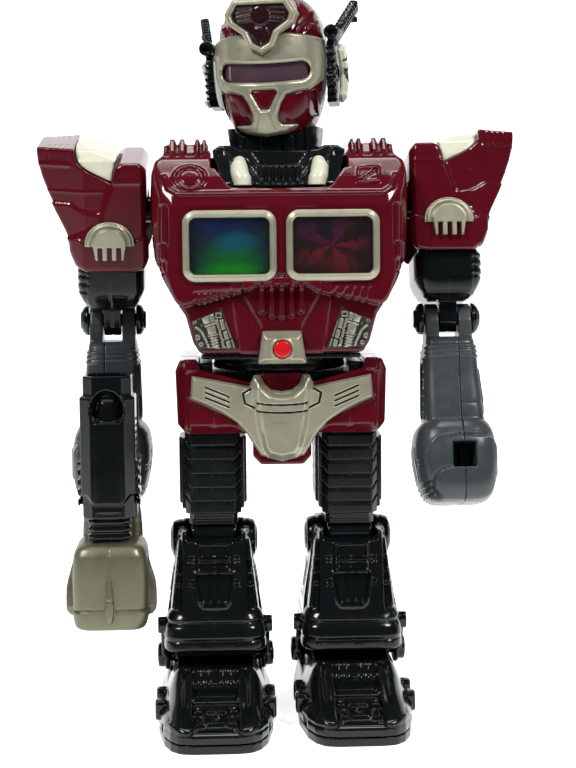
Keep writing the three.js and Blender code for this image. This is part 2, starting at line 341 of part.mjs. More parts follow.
// ------------------------------------------------------------------ head
{
  const head = turned(robot, [0, 0, NECK_Z], ['y', HEAD_TILT], ['z', HEAD_YAW]);
  const SHAPE = [[262, 14.5, -21.5, 15], [266, 17.6, -23.4, 19], [272, 20.6, -25.4, 22.5], [280, 22.8, -26.6, 25], [290, 23.8, -27.2, 26.6], [300, 24, -27, 27],
    [308, 23.4, -26, 26.6], [315, 21.4, -23, 24.6], [320.6, 17.6, -18.4, 20.6], [324.8, 12, -12, 14.6], [327.2, 5.4, -5, 7]];
  const skull = (d) => loft(SHAPE.map(([z, hw, yf, yb], i) => {
    const k = i === 0 ? -d : i >= 8 ? d * 0.85 : 0;
    return section(z + k, Math.max(hw + d * (i > 8 ? 0.5 : 1), 1), yf - d * (i > 8 ? 0.5 : 1), yb + d * (i > 8 ? 0.5 : 1), 2.5, d < -2 ? 16 : 24);
  }));
  const s0 = skull(0), sIn = skull(-WALL), sGap = skull(GAP), sOut = skull(2.4), sCrest = skull(2.4 + GAP);
  const shellFull = s0.subtract(sIn).subtract(box(-40, 40, -40, 40, 255, 263.4));
  const visor = rrect(-20.4, 20.4, 284.4, 293.2, 3.8, 3);
  const frontShell = below(shellFull, 'y', 2 - GAP / 2);
  const faceCut = box(-40, 40, -60, -2, 255, 294.6);
  put(head, 'helmet_front', frontShell.subtract(faceCut), RED);
  put(head, 'helmet_back', above(shellFull, 'y', 2 + GAP / 2), RED);
  const face = frontShell.intersect(box(-40, 40, -60, -2 - GAP, 255, 294.6 - GAP)).subtract(prism('y', visor, -60, 0).intersect(box(-40, 40, -60, -12, 250, 300)));
  put(head, 'face_plate', face, RED);
  const lens = sIn.add(s0).intersect(prism('y', inset(visor, GAP), -60, 0)).subtract(skull(-1.6)).intersect(box(-40, 40, -60, -12.4, 250, 300));
  put(head, 'visor_lens', lens, SMOKE);
  // mask: brow band, visor surround, bridge, chin
  const maskBand = prism('y', sym([[0, 306.4], [24.2, 306], [24.4, 287], [19.4, 281], [9.4, 279.6], [5.4, 268.8], [9.6, 266.4], [14.6, 266.6], [8.8, 262.3], [0, 261.2]]), -60, -4);
  const nose = prism('y', [[-6.6, 281.6], [6.6, 281.6], [1.6, 272.4], [-1.6, 272.4]], -60, 0);
  const jaw = prism('x', [[-40, 255], [-40, 310], [-6, 310], [-6, 296], [-9, 286], [-14, 276], [-15, 255]], -40, 40);
  const mask = sOut.subtract(sGap).intersect(maskBand).intersect(jaw).subtract(prism('y', inset(visor, 0.4), -60, 0)).subtract(nose);
  put(head, 'face_mask', mask, CHAMP);
  // crest: shield-shaped frame and dark panel
  const shield = [[0, 296.6], [5.6, 299.6], [8, 305], [14.6, 309.6], [16, 314.2], [12, 320.4], [-12, 320.4], [-16, 314.2], [-14.6, 309.6], [-8, 305], [-5.6, 299.6]];
  const inner = [[0, 299.4], [3.6, 301.6], [5.4, 306.2], [12, 310.8], [13, 313.8], [10.4, 318], [-10.4, 318], [-13, 313.8], [-12, 310.8], [-5.4, 306.2], [-3.6, 301.6]];
  const bar = prism('y', shield, -33.4, -14).subtract(sCrest);
  put(head, 'crest_frame', bar.subtract(prism('y', inner, -60, -10)), CHAMP);
  put(head, 'crest_panel', prism('y', inset(inner, GAP), -32.2, -14).subtract(sCrest), SMOKE);
  // neck
  const neck = loft([[251.2, 18.4, -16, 16], [256, 19.4, -16.6, 16.6], [261, 21, -16.6, 17]].map(([z, hw, a, b]) => section(z, hw, a, b, 3, 16)))
    .add(cyl('z', 0, 0, 8.2, 244, 252, 16)).subtract(sGap);
  put(head, 'neck_block', neck, BLACK);
  // ears
  for (const [side, s] of [['right', -1], ['left', 1]]) {
    const f = m => s < 0 ? mirrored(m) : m;
    const drop = EAR_DROP[side], fit = p => p.map(([y, z]) => [y, EAR_LOW + (z - 271) * (306 - drop - EAR_LOW) / 35]);
    const podProf = fit([[-12, 300], [-9, 305.4], [4, 306], [11, 300], [14.6, 290], [12, 279], [4, 271], [-6, 273], [-11, 282]]);
    let pod = prism('x', podProf, 15, 29.6).subtract(skull(2.4 + GAP)).intersect(box(22, 60, -60, 60, 250, 330));
    pod = pod.add(cyl('y', 28.6, 307.2 - drop, 3.3, -14.5, -2, 14));
    const bar = loft([[27.4, -8, 303.4, 3], [29.6, 0, 309, 3.2], [33.4, 12, 317.4, 3.2], [35, 17, 321.4, 2.8]].map(([x, y, z, r]) =>
      [[-r, -1], [r, -1], [r, 1], [-r, 1]].map(([u, v]) => [x + (v > 0 ? 2.2 : -2.2), y + u * 0.7, z - drop - u * 0.7])));
    pod = pod.add(bar);
    put(head, side + '_ear_pod', f(pod), BLACK, [s * 28, 0, 290]);
    const blade = prism('x', fit([[-8.4, 299], [2, 303], [9, 297], [12.4, 288.4], [9.6, 279], [2, 272.6], [-4, 276.6], [2, 281], [3.4, 287.4], [-2, 293.4]]), 29.9, 33);
    put(head, side + '_ear_blade', f(blade), CREAM, [s * 31, 0, 288]);
  }
}

// ------------------------------------------------------------------ arms
for (const [side, s] of [['right', -1], ['left', 1]]) {
  const f = m => s < 0 ? mirrored(m) : m;
  const Z = SHOULDER_Z, arm = turned(robot, [0, 0, Z], ['x', -ARM_SWING[side]]);
  // shoulder pad: block, winged horn and inset
  const block = prism('y', [[58, -19], [61, -22], [88, -22], [92.6, -17], [93, -11], [94.6, -5], [100.6, 8], [105.6, 22], [108, 32], [90.3, 32], [71.4, 12.4], [71.4, 22], [68, 25], [61, 25], [58, 22]].map(([x, z]) => [x, z + Z]), -24, 24);
  const plan = prism('z', [[58, -20], [61, -24], [86, -24], [108, -15], [108, 15], [86, 24], [61, 24], [58, 20]], 200, 270);
  let pad = block.intersect(plan);
  const hollow = prism('y', [[55, -30], [90.6, -30], [90.6, -12], [86, 6], [68.8, 6], [68.8, 20], [61, 20], [61, 8], [55, 8]].map(([x, z]) => [x, z + Z]), -21.6, 21.6)
    .intersect(prism('z', [[50, -21.8], [85, -21.8], [92, -19], [92, 19], [85, 21.8], [50, 21.8]], 190, 270));
  const hornHollow = prism('y', [[86, -14], [90.4, -14], [98, 6], [102, 18], [104, 28], [93, 28], [85, 18]].map(([x, z]) => [x, z + Z]), -12, 12);
  pad = pad.subtract(hollow.add(hornHollow.intersect(box(0, 120, -11.6, 11.6, 190, 280))));
  put(arm, side + '_shoulder_pad', f(pad), RED, [s * 80, 0, Z]);
  const roof = prism('y', [[71.8, 13], [89.6, 31.6], [88, 32], [71.8, 24.8]].map(([x, z]) => [x, z + Z + 0.1]), -19, 19)
    .intersect(prism('x', [[-19, 11], [-18, 20], [-9, 29.6], [0, 33], [9, 29.6], [18, 20], [19, 11]].map(([y, z]) => [y, z + Z]), 60, 100));
  put(arm, side + '_pad_insert', f(roof), CREAM, [s * 80, 0, Z + 20]);
  const badge = prism('y', circle(75.5, Z - 9, 11, 24).filter(([, z]) => z >= Z - 9.01).concat([[66, Z - 13.4], [68.4, Z - 13.4], [68.4, Z - 17.4], [82.6, Z - 17.4], [82.6, Z - 13.4], [85, Z - 13.4]]), -27.6, -24 - GAP);
  put(arm, side + '_pad_badge', f(badge), CHAMP, [s * 75.5, -26, Z - 9]);
  // upper arm: rounded housing, shoulder boss and elbow tongue
  let upper = loft([[-44.6, 10, -13, 13], [-42.6, 13, -16, 16], [-36, 15.4, -18.6, 18.6], [-25, 15.2, -19, 19], [-22.6, 13.4, -18.6, 18.6], [-12, 11.8, -17.6, 17.6], [2, 9.4, -16, 16]].map(([z, hw, a, b]) =>
    section(z + Z, hw, a, b, 4.5, 20, ARM_X - 0.4)));
  upper = upper.subtract(loft([[-41, 10, -13, 13], [-35, 12.8, -16, 16], [-24, 11.2, -16.4, 16.4], [-12, 9.6, -15.2, 15.2], [3, 7.4, -13.8, 13.8]].map(([z, hw, a, b]) =>
    section(z + Z, hw, a, b, 4.5, 12, ARM_X - 0.4))));
  upper = upper.add(cyl('x', 0, Z, 9, 50.6, 57.4, 24)).add(cyl('x', 0, Z, 6, 56, 66, 20));
  upper = upper.subtract(cyl('x', 0, Z, 3, 48, 70, 12));
  upper = upper.add(prism('x', [[-7, -43], [-7.2, -54], [-4, -58.4], [4, -58.4], [7.2, -54], [7, -43]].map(([y, z]) => [y, z + Z]), ARM_X - 4.1, ARM_X + 4.1));
  upper = upper.subtract(cyl('x', 0, Z - ELBOW_DROP, 3 + GAP, 60, 100, 16));
  put(arm, side + '_upper_arm', f(upper), BLACK, [s * ARM_X, 0, Z - 20]);
  // forearm: two halves moulded together with the fist
  const E = Z - ELBOW_DROP;
  const fore = turned(arm, [0, 0, E], ['x', -ELBOW_BEND[side]]);
  const tube = loft([[-87, 13.4, -14.6, 14.6], [-47, 13.2, -14.4, 14.4], [-28, 12.2, -13, 13], [-13, 11.2, -12, 12], [-9.4, 10.2, -9.6, 9.6]].map(([z, hw, a, b], i) =>
    section(z + E, hw, a, b, 5, 20, [79.5, 77.6, 77, 76.6, 76.6][i])));
  const cheeks = prism('x', [[-7.6, -12], [-7.6, -1.6], [-5.2, 5], [0, 7.2], [5.2, 5], [7.6, -1.6], [7.6, -12]].map(([y, z]) => [y, z + E]), 66, 87);
  const fist = loft([[-84.6, 11, -13, 14], [-81, 15, -18.6, 18.6], [-73, 17.6, -21, 20.6], [-60, 18.6, -21.6, 21], [-52, 17.4, -20, 19.6], [-47, 14.2, -16, 16]].map(([z, hw, a, b], i) =>
    section(z + E, hw, a, b, 4, 20, 77.9)));
  let whole = above(tube, 'z', E - 60).add(cheeks).add(fist)
    .subtract(box(ARM_X - 4.5, ARM_X + 4.5, -30, 30, E - 9.6, E + 20))
    .subtract(cyl('x', 0, E, 3 + GAP, 60, 100, 16));
  // hollow inside, and the square socket walls
  const hol = loft([[-80, 13, -15, 15], [-60, 15.4, -17.4, 17], [-50, 13, -14, 14], [-44, 10.8, -12, 12], [-14, 9, -9.6, 9.6]].map(([z, hw, a, b], i) => section(z + E, hw, a, b, 4, 12, [78, 78, 78, 77.6, 76.6][i])));
  const sw = SOCKET_W / 2, sh = SOCKET_H / 2, sz = E + SOCKET_DZ;
  const socketWall = box(SOCKET_X - sw - 2, SOCKET_X + sw + 2, -22, SOCKET_D - 20, sz - sh - 2, sz + sh + 2);
  whole = whole.subtract(hol.subtract(socketWall)).subtract(box(SOCKET_X - sw, SOCKET_X + sw, -40, SOCKET_D - 22, sz - sh, sz + sh));
  put(fore, side + '_forearm_inner', f(below(whole, 'x', SOCKET_X - 0.15)), GREY, [s * 72, 0, E - 45]);
  put(fore, side + '_forearm_outer', f(above(whole, 'x', SOCKET_X + 0.15)), GREY, [s * 84, 0, E - 45]);
  const pin = union(cyl('x', 0, E, 3, 62, 91, 16),
    loft([[65.7, 7.2], [63.4, 7.2], [61.8, 6], [61, 3.6]].map(([x, r]) => circle(0, E, r, 16, Math.PI / 16).map(([y, z]) => [x, y, z]))),
    loft([[87.3, 7.2], [88.6, 7], [90.4, 5.6], [91.4, 3]].map(([x, r]) => circle(0, E, r, 16, Math.PI / 16).map(([y, z]) => [x, y, z]))));
  put(fore, side + '_elbow_pin', f(pin), BLACK, [s * ARM_X, 0, E]);

  if (side === 'right') {
    // blaster: peg in the fist socket, faceted body, neck and pod
    const x = -SOCKET_X + 3, zc = sz;
    const oct = (hw, hy, c, yc) => [[-hw + c, -hy], [hw - c, -hy], [hw, -hy + c], [hw, hy - c], [hw - c, hy], [-hw + c, hy], [-hw, hy - c], [-hw, -hy + c]].map(([u, v]) => [x + u, yc + v]);
    const yc = -40;
    let body = prism('z', oct(12.2, 13.6, 4.6, yc), zc - 22, zc + 42).add(prism('z', oct(8.6, 9.6, 2.6, yc), zc - 31.4, zc - 20));
    for (const k of [0, 1, 2]) body = body.add(prism('z', oct(9.6, 10.6, 3, yc), zc - 30.6 + k * 3.4, zc - 28.8 + k * 3.4));
    body = body.subtract(prism('z', oct(9.6, 11, 3.4, yc), zc + 22, zc + 60));
    body = body.subtract(prism('y', [[x - 7, zc + 60], [x - 7, zc + 36], [x - 4, zc + 39], [x + 4, zc + 39], [x + 7, zc + 36], [x + 7, zc + 60]], -60, -45));
    body = body.add(box(-SOCKET_X - sw + GAP + 0.1, -SOCKET_X + sw - GAP - 0.1, -28, -1, sz - sh + GAP + 0.1, sz + sh - GAP - 0.1));
    put(fore, 'blaster_body', body, BLACK, [x, yc, zc]);
    const P = zc - 32;
    const podR = (d) => [[-38.4, 13.4, -15, 15], [-36.6, 15.6, -16.4, 16.4], [-29, 16.9, -17.2, 17.2], [-28.6, 17.3, -17.4, 17.4], [-6, 16.9, -17, 17], [-1.4, 15.6, -15.6, 15.6], [0, 13, -13, 13]]
      .map(([z, hw, a, b]) => section(z + P, hw - d, yc + a + d, yc + b + 4 - d, 6, 20, x));
    let pod = loft(podR(0)).subtract(loft([[-36, 12, -13, 13], [-28, 14.6, -15, 15], [-6, 14.4, -14.6, 14.6], [-2.4, 12, -12, 12]].map(([z, hw, a, b]) => section(z + P, hw, yc + a, yc + b + 4, 6, 12, x))))
      .subtract(box(x - 5, x + 5, yc - 5, yc + 5, P - 4, P + 2));
    const fin = [[-35, 0.6], [-33, 2.2], [-27, 2.6], [-9, 0.9], [-6, 0.2]];
    for (const dx of [-1, 1]) {
      pod = pod.add(loft([[x + dx * 16, 3.2, -34.4, -8], [x + dx * 19.6, 1.6, -31.6, -14], [x + dx * 20.2, 0.8, -30, -20]].map(([px, h, z0, z1]) =>
        [[px, yc - h, z0 + P], [px, yc + h, z0 + P], [px, yc + h * 0.5, z1 + P], [px, yc - h * 0.5, z1 + P]])));
      pod = pod.add(loft([[-2, 3.4, 2.6, 10], [8, 2.8, 2.3, 10], [17.6, 0.7, 0.7, 9.8]].map(([z, hw, hy, px]) =>
        circle(0, 0, 1, 10, 0.3).map(([u, v]) => [x + dx * px + u * hw, yc + 16.8 + v * hy, z + P]))));
    }
    pod = pod.add(loft([[yc - 16, 3.2, -34.4, -8], [yc - 19.4, 1.6, -31.6, -14]].map(([py, h, z0, z1]) =>
      [[x - h, py, z0 + P], [x + h, py, z0 + P], [x + h * 0.5, py, z1 + P], [x - h * 0.5, py, z1 + P]])));
    put(fore, 'blaster_pod', pod, GOLD, [x, yc, P - 18]);
  }
}

export default robot;
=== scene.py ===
# Visual model of the walking toy robot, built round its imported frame.
import bpy, math
import numpy as np
from mathutils import Matrix, Vector


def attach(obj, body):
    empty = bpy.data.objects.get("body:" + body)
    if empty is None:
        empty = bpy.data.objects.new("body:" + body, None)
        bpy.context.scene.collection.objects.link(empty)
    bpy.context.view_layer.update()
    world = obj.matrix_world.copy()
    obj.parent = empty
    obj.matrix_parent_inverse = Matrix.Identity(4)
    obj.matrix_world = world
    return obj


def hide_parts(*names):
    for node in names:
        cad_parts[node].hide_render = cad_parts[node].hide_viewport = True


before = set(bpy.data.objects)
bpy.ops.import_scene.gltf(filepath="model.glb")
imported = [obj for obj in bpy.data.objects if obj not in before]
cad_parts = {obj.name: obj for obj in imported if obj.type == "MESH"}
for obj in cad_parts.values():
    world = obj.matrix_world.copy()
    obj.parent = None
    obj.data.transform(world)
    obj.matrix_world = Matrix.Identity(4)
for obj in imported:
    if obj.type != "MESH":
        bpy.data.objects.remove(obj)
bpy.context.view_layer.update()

# ------------------------------------------------------------------ frame of the design, in millimetres
DY = 22.5
HIP_Z, ANKLE_Z, STRIDE = 146.5, 24.0, 1.6
LIFT = (HIP_Z - ANKLE_Z) * (1 - math.cos(math.radians(STRIDE)))
LEG_X = 31.0
SHOULDER_Z, ELBOW_DROP, ARM_X = 230.0, 52.0, 76.5
SWING = {"right": -12, "left": 10}
BEND = {"right": 12, "left": 3}
E = SHOULDER_Z - ELBOW_DROP
SX = {"right": -1, "left": 1}

ROOT = Matrix.Translation((0, DY, -LIFT))
def about(p, axis, deg):
    p = Vector(p)
    return Matrix.Translation(p) @ Matrix.Rotation(math.radians(deg), 4, axis) @ Matrix.Translation(-p)
HEAD = ROOT @ about((0, 0, 252), "Y", -1) @ about((0, 0, 252), "Z", -12)
ARM = {s: ROOT @ about((0, 0, SHOULDER_Z), "X", -SWING[s]) for s in SX}
FORE = {s: ARM[s] @ about((0, 0, E), "X", -BEND[s]) for s in SX}
LEG = {s: ROOT @ about((0, 0, HIP_Z), "X", SX[s] * STRIDE) for s in SX}
FOOT = {s: LEG[s] @ about((0, 0, ANKLE_Z), "X", -SX[s] * STRIDE) for s in SX}

# ------------------------------------------------------------------ distance-field modelling
F = np.float32
class Grid:
    def __init__(g, x, y, z, h):
        g.h = h
        ax = [np.arange(a - 1.5 * h, b + 1.5 * h, h, dtype=F) for a, b in (x, y, z)]
        g.ax = ax
        g.x, g.y, g.z = ax[0][:, None, None], ax[1][None, :, None], ax[2][None, None, :]
    def full(g, v):
        return np.broadcast_to(v, (len(g.ax[0]), len(g.ax[1]), len(g.ax[2]))).astype(F)

def smax(a, b, k):
    h = np.clip(0.5 + 0.5 * (a - b) / k, 0, 1)
    return b + (a - b) * h + k * h * (1 - h)
def smin(a, b, k):
    return -smax(-a, -b, k)
def ss(t):
    t = np.clip(t, 0, 1); return t * t * (3 - 2 * t)
def relief(d, h, e=0.4):
    """height h inside the shape whose signed distance is d, with a sloping edge"""
    return h * ss(0.5 - d / (2 * e))
def seg(u, v, p, q, r=0.0):
    px, py, qx, qy = *p, *q
    dx, dy = qx - px, qy - py
    t = np.clip(((u - px) * dx + (v - py) * dy) / max(dx * dx + dy * dy, 1e-9), 0, 1)
    return np.hypot(u - px - t * dx, v - py - t * dy) - r
def path(u, v, pts, r=0.0):
    d = seg(u, v, pts[0], pts[1])
    for a, b in zip(pts[1:], pts[2:]):
        d = np.minimum(d, seg(u, v, a, b))
    return d - r
def poly(u, v, pts, r=0.0):
    """signed distance to a closed polygon, negative inside, corners rounded by r"""
    if r:
        pts = shrink(pts, r)
    u, v = np.broadcast_arrays(u, v)
    d = np.full(u.shape, 1e9, F); inside = np.zeros(u.shape, bool)
    n = len(pts)
    for i in range(n):
        a, b = pts[i], pts[(i + 1) % n]
        d = np.minimum(d, seg(u, v, a, b))
        if a[1] != b[1]:
            c = ((a[1] > v) != (b[1] > v)) & (u < (b[0] - a[0]) * (v - a[1]) / (b[1] - a[1]) + a[0])
            inside ^= c
    return np.where(inside, -d, d) - r
def shrink(pts, d):
    n = len(pts)
    area = sum(pts[i][0] * pts[(i + 1) % n][1] - pts[(i + 1) % n][0] * pts[i][1] for i in range(n))
    s = 1 if area > 0 else -1
    out = []
    for i in range(n):
        q, p, r = pts[i - 1], pts[i], pts[(i + 1) % n]
        ax, ay, bx, by = p[0] - q[0], p[1] - q[1], r[0] - p[0], r[1] - p[1]
        la, lb = math.hypot(ax, ay), math.hypot(bx, by)
        ax, ay, bx, by = ax / la, ay / la, bx / lb, by / lb
        n1, n2 = (-ay * s, ax * s), (-by * s, bx * s)
        k = d / max(1 + n1[0] * n2[0] + n1[1] * n2[1], 0.2)
        out.append((p[0] + (n1[0] + n2[0]) * k, p[1] + (n1[1] + n2[1]) * k))
    return out
def sym(half):
    return [tuple(p) for p in half] + [(-u, v) for u, v in reversed(half) if u > 1e-6]
def mir(pts):
    return [(-a, b) for a, b in pts]
def rbox(u, v, cu, cv, hu, hv, r):
    qx, qy = np.abs(u - cu) - hu + r, np.abs(v - cv) - hv + r
    return np.hypot(np.maximum(qx, 0), np.maximum(qy, 0)) + np.minimum(np.maximum(qx, qy), 0) - r
def rbox3(g, lo, hi, r):
    q = [np.abs(c - (a + b) / 2) - (b - a) / 2 + r for c, a, b in zip((g.x, g.y, g.z), lo, hi)]
    out = np.sqrt(sum(np.maximum(k, 0) ** 2 for k in q))
    return out + np.minimum(np.maximum(np.maximum(q[0], q[1]), q[2]), 0) - r
def slab(c, a, b):
    return np.maximum(a - c, c - b)
def tube(g, pts, radii):
    """round bar through 3-D points with radii"""
    out = None
    for (p, q), (ra, rb) in zip(zip(pts, pts[1:]), zip(radii, radii[1:])):
        d = [q[i] - p[i] for i in range(3)]
        t = np.clip(((g.x - p[0]) * d[0] + (g.y - p[1]) * d[1] + (g.z - p[2]) * d[2]) / sum(k * k for k in d), 0, 1)
        e = np.sqrt((g.x - p[0] - t * d[0]) ** 2 + (g.y - p[1] - t * d[1]) ** 2 + (g.z - p[2] - t * d[2]) ** 2) - (ra + (rb - ra) * t)
        out = e if out is None else np.minimum(out, e)
    return out
def spline(z, zs, vs):
    zs, vs = np.array(zs, float), np.array(vs, float)
    m = np.gradient(vs, zs)
    # keep the curve from overshooting between its points
    s = np.diff(vs) / np.diff(zs)
    for i in range(1, len(m) - 1):
        m[i] = 0 if s[i - 1] * s[i] <= 0 else 2 * s[i - 1] * s[i] / (s[i - 1] + s[i]) * 0.75 + m[i] * 0.25
    zc = np.clip(z, zs[0], zs[-1])
    i = np.clip(np.searchsorted(zs, zc.ravel(), side="right") - 1, 0, len(zs) - 2).reshape(zc.shape)
    h = zs[i + 1] - zs[i]; t = (zc - zs[i]) / h
    return ((2 * t ** 3 - 3 * t ** 2 + 1) * vs[i] + (t ** 3 - 2 * t ** 2 + t) * h * m[i]
            + (-2 * t ** 3 + 3 * t ** 2) * vs[i + 1] + (t ** 3 - t ** 2) * h * m[i + 1]).astype(F)
def loft(g, rows, n=2.6, d=0.0, cx=0.0, k=2.0, cap=True):
    """rounded column: rows of (z, half width, front y, back y[, centre x])"""
    z = [r[0] for r in rows]
    hw, yf, yb = (spline(g.z, z, [r[i] for r in rows]) for i in (1, 2, 3))
    c = spline(g.z, z, [r[4] for r in rows]) if len(rows[0]) > 4 else cx
    hw = hw + d; hd = (yb - yf) / 2 + d; yc = (yb + yf) / 2
    u, v = np.abs(g.x - c) / np.maximum(hw, 0.3), np.abs(g.y - yc) / np.maximum(hd, 0.3)
    e = (np.power(u ** n + v ** n + 1e-9, 1 / n) - 1) * np.minimum(hw, hd)
    return smax(e, slab(g.z, z[0] - d, z[-1] + d), k) if cap else e

def net(V, g):
    """closed quad mesh on the zero level"""
    V = V.astype(F); V = V.copy()
    V[0], V[-1], V[:, 0], V[:, -1], V[:, :, 0], V[:, :, -1] = 1, 1, 1, 1, 1, 1
    S = V < 0
    c = np.zeros([n - 1 for n in V.shape], np.uint8)
    corners = [(i, j, k) for i in (0, 1) for j in (0, 1) for k in (0, 1)]
    nx, ny, nz = V.shape
    for i, j, k in corners:
        c += S[i:nx - 1 + i, j:ny - 1 + j, k:nz - 1 + k]
    act = (c > 0) & (c < 8)
    I, J, K = np.nonzero(act)
    cid = np.full(act.shape, -1, np.int32); cid[I, J, K] = np.arange(len(I), dtype=np.int32)
    vals = {q: V[I + q[0], J + q[1], K + q[2]] for q in corners}
    P = np.zeros((len(I), 3), np.float64); C = np.zeros(len(I))
    for a in corners:
        for ax in range(3):
            if a[ax] == 0:
                b = tuple(1 if n == ax else a[n] for n in range(3))
                va, vb = vals[a], vals[b]
                m = (va < 0) != (vb < 0)
                t = np.where(m, va / np.where(m, va - vb, 1), 0)
                for n in range(3):
                    P[:, n] += np.where(m, a[n] + (t if n == ax else 0), 0)
                C += m
    P /= C[:, None]
    P += np.stack([I, J, K], 1)
    Q = []
    for ax in range(3):
        sl = [slice(1, -1)] * 3; sa, sb = list(sl), list(sl)
        sa[ax], sb[ax] = slice(0, -1), slice(1, None)
        A, B = S[tuple(sa)], S[tuple(sb)]
        m = A != B
        p = list(np.nonzero(m)); inside = A[tuple(p)]
        for n in range(3):
            if n != ax: p[n] = p[n] + 1
        o = [n for n in range(3) if n != ax]
        def at(du, dv):
            q = list(p); q[o[0]] = q[o[0]] - du; q[o[1]] = q[o[1]] - dv
            return cid[tuple(q)]
        quad = np.stack([at(1, 1), at(0, 1), at(0, 0), at(1, 0)], 1)
        flip = inside if ax != 1 else ~inside
        quad[~flip] = quad[~flip][:, ::-1]
        Q.append(quad)
    Q = np.concatenate(Q)
    origin = np.array([a[0] for a in g.ax])
    return P * g.h + origin, Q

def relax(P, Q, times=1, lam=0.5):
    e = np.concatenate([Q[:, [0, 1]], Q[:, [1, 2]], Q[:, [2, 3]], Q[:, [3, 0]]])
    n = len(P)
    deg = np.bincount(e[:, 0], minlength=n) + np.bincount(e[:, 1], minlength=n)
    deg = np.maximum(deg, 1)
    for _ in range(times):
        for f in (lam, -lam * 1.02):
            acc = np.stack([np.bincount(e[:, 0], P[e[:, 1], k], n) + np.bincount(e[:, 1], P[e[:, 0], k], n) for k in range(3)], 1)
            P = P + f * (acc / deg[:, None] - P)
    return P

DETAIL = 0.42      # share of the drawn faces that is kept
def make(name, P, Q, M, body, mat, nodes=(), mirror=False, faces=None, smooth=True):
    P = P.copy()
    if mirror:
        P[:, 0] *= -1; Q = Q[:, ::-1]
    name = name + "_v"
    me = bpy.data.meshes.new(name)
    A = np.array(M)
    W = (P @ A[:3, :3].T + A[:3, 3]) / 1000.0
    me.vertices.add(len(W)); me.vertices.foreach_set("co", W.astype(F).ravel())
    me.loops.add(Q.size); me.loops.foreach_set("vertex_index", Q.astype(np.int32).ravel())
    me.polygons.add(len(Q)); me.polygons.foreach_set("loop_start", np.arange(0, Q.size, 4, dtype=np.int32))
    me.update(calc_edges=True); me.validate()
    ob = bpy.data.objects.new(name, me)
    bpy.context.scene.collection.objects.link(ob)
    me.polygons.foreach_set("use_smooth", np.full(len(me.polygons), True))
    faces = int((faces or 40000) * DETAIL)
    if 2 * len(Q) > faces:
        md = ob.modifiers.new("thin", "DECIMATE"); md.ratio = faces / (2.0 * len(Q))
    md = ob.modifiers.new("normals", "WEIGHTED_NORMAL"); md.mode = "FACE_AREA_WITH_ANGLE"; md.weight = 50; md.keep_sharp = False
    dg = bpy.context.evaluated_depsgraph_get(); dg.update()
    new = bpy.data.meshes.new_from_object(ob.evaluated_get(dg))
    ob.modifiers.clear(); old = ob.data; ob.data = new; bpy.data.meshes.remove(old); new.name = name
    ob.data.materials.clear(); ob.data.materials.append(mat)
    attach(ob, body)
    if nodes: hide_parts(*nodes)
    return ob

def sculpt(name, g, V, M, body, mat, nodes=(), faces=40000, sides=None, times=2):
    """one piece, or a mirrored pair when sides is given: M and body are then functions of the side"""
    P, Q = net(V, g)
    P = relax(P, Q, times)
    if sides is None:
        return make(name, P, Q, M, body, mat, nodes, faces=faces)
    return [make(f"{s}_{name}", P, Q, M[s], body(s), mat, [n.replace("*", s) for n in nodes], mirror=(s == "right"), faces=faces) for s in sides]
BOTH = ("right", "left")

# ------------------------------------------------------------------ materials
def nodes_of(name):
    m = bpy.data.materials.new(name); m.use_nodes = True
    t = m.node_tree; b = t.nodes["Principled BSDF"]
    return m, t, b
def mm_coords(t, scale):
    tc = t.nodes.new("ShaderNodeTexCoord"); mp = t.nodes.new("ShaderNodeMapping")
    mp.inputs["Scale"].default_value = (scale,) * 3
    t.links.new(tc.outputs["Object"], mp.inputs["Vector"])
    return mp.outputs["Vector"]
def noise(t, scale, detail=2.0, rough=0.5, vec=None, distort=0.0):
    n = t.nodes.new("ShaderNodeTexNoise"); n.inputs["Scale"].default_value = scale
    n.inputs["Detail"].default_value = detail; n.inputs["Roughness"].default_value = rough
    n.inputs["Distortion"].default_value = distort
    t.links.new(vec if vec else mm_coords(t, 1.0), n.inputs["Vector"])
    return n.outputs["Fac"]
def ramp(t, fac, lo, hi, a, b):
    r = t.nodes.new("ShaderNodeMapRange"); r.clamp = True
    for k, v in zip(("From Min", "From Max", "To Min", "To Max"), (lo, hi, a, b)): r.inputs[k].default_value = v
    t.links.new(fac, r.inputs["Value"]); return r.outputs["Result"]
def mixc(t, fac, a, b):
    m = t.nodes.new("ShaderNodeMix"); m.data_type = "RGBA"
    for sock, v in ((m.inputs[6], a), (m.inputs[7], b)):
        if isinstance(v, (tuple, list)): sock.default_value = (*v[:3], 1)
        else: t.links.new(v, sock)
    if isinstance(fac, float): m.inputs[0].default_value = fac
    else: t.links.new(fac, m.inputs[0])
    return m.outputs[2]
def math_(t, op, a, b=None):
    m = t.nodes.new("ShaderNodeMath"); m.operation = op
    for i, v in enumerate((a, b)):
        if v is None: continue
        if isinstance(v, (int, float)): m.inputs[i].default_value = v
        else: t.links.new(v, m.inputs[i])
    return m.outputs[0]
def bump(t, b, height, strength, distance):
    n = t.nodes.new("ShaderNodeBump"); n.inputs["Strength"].default_value = strength; n.inputs["Distance"].default_value = distance
    t.links.new(height, n.inputs["Height"]); t.links.new(n.outputs["Normal"], b.inputs["Normal"]); return n
def scratches(t, vec, scale, width):
    """fine hairline scuffs in one wandering direction: 1 on a scratch"""
    w = t.nodes.new("ShaderNodeTexWave"); w.wave_type = "BANDS"; w.bands_direction = "DIAGONAL"
    w.inputs["Scale"].default_value = scale; w.inputs["Distortion"].default_value = 14; w.inputs["Detail"].default_value = 3
    w.inputs["Detail Scale"].default_value = 0.6
    t.links.new(vec, w.inputs["Vector"])
    return ramp(t, w.outputs["Fac"], 1 - width, 1.0, 0.0, 1.0)
def geo_pointiness(t, lo, hi, a, b):
    g = t.nodes.new("ShaderNodeNewGeometry"); return ramp(t, g.outputs["Pointiness"], lo, hi, a, b)

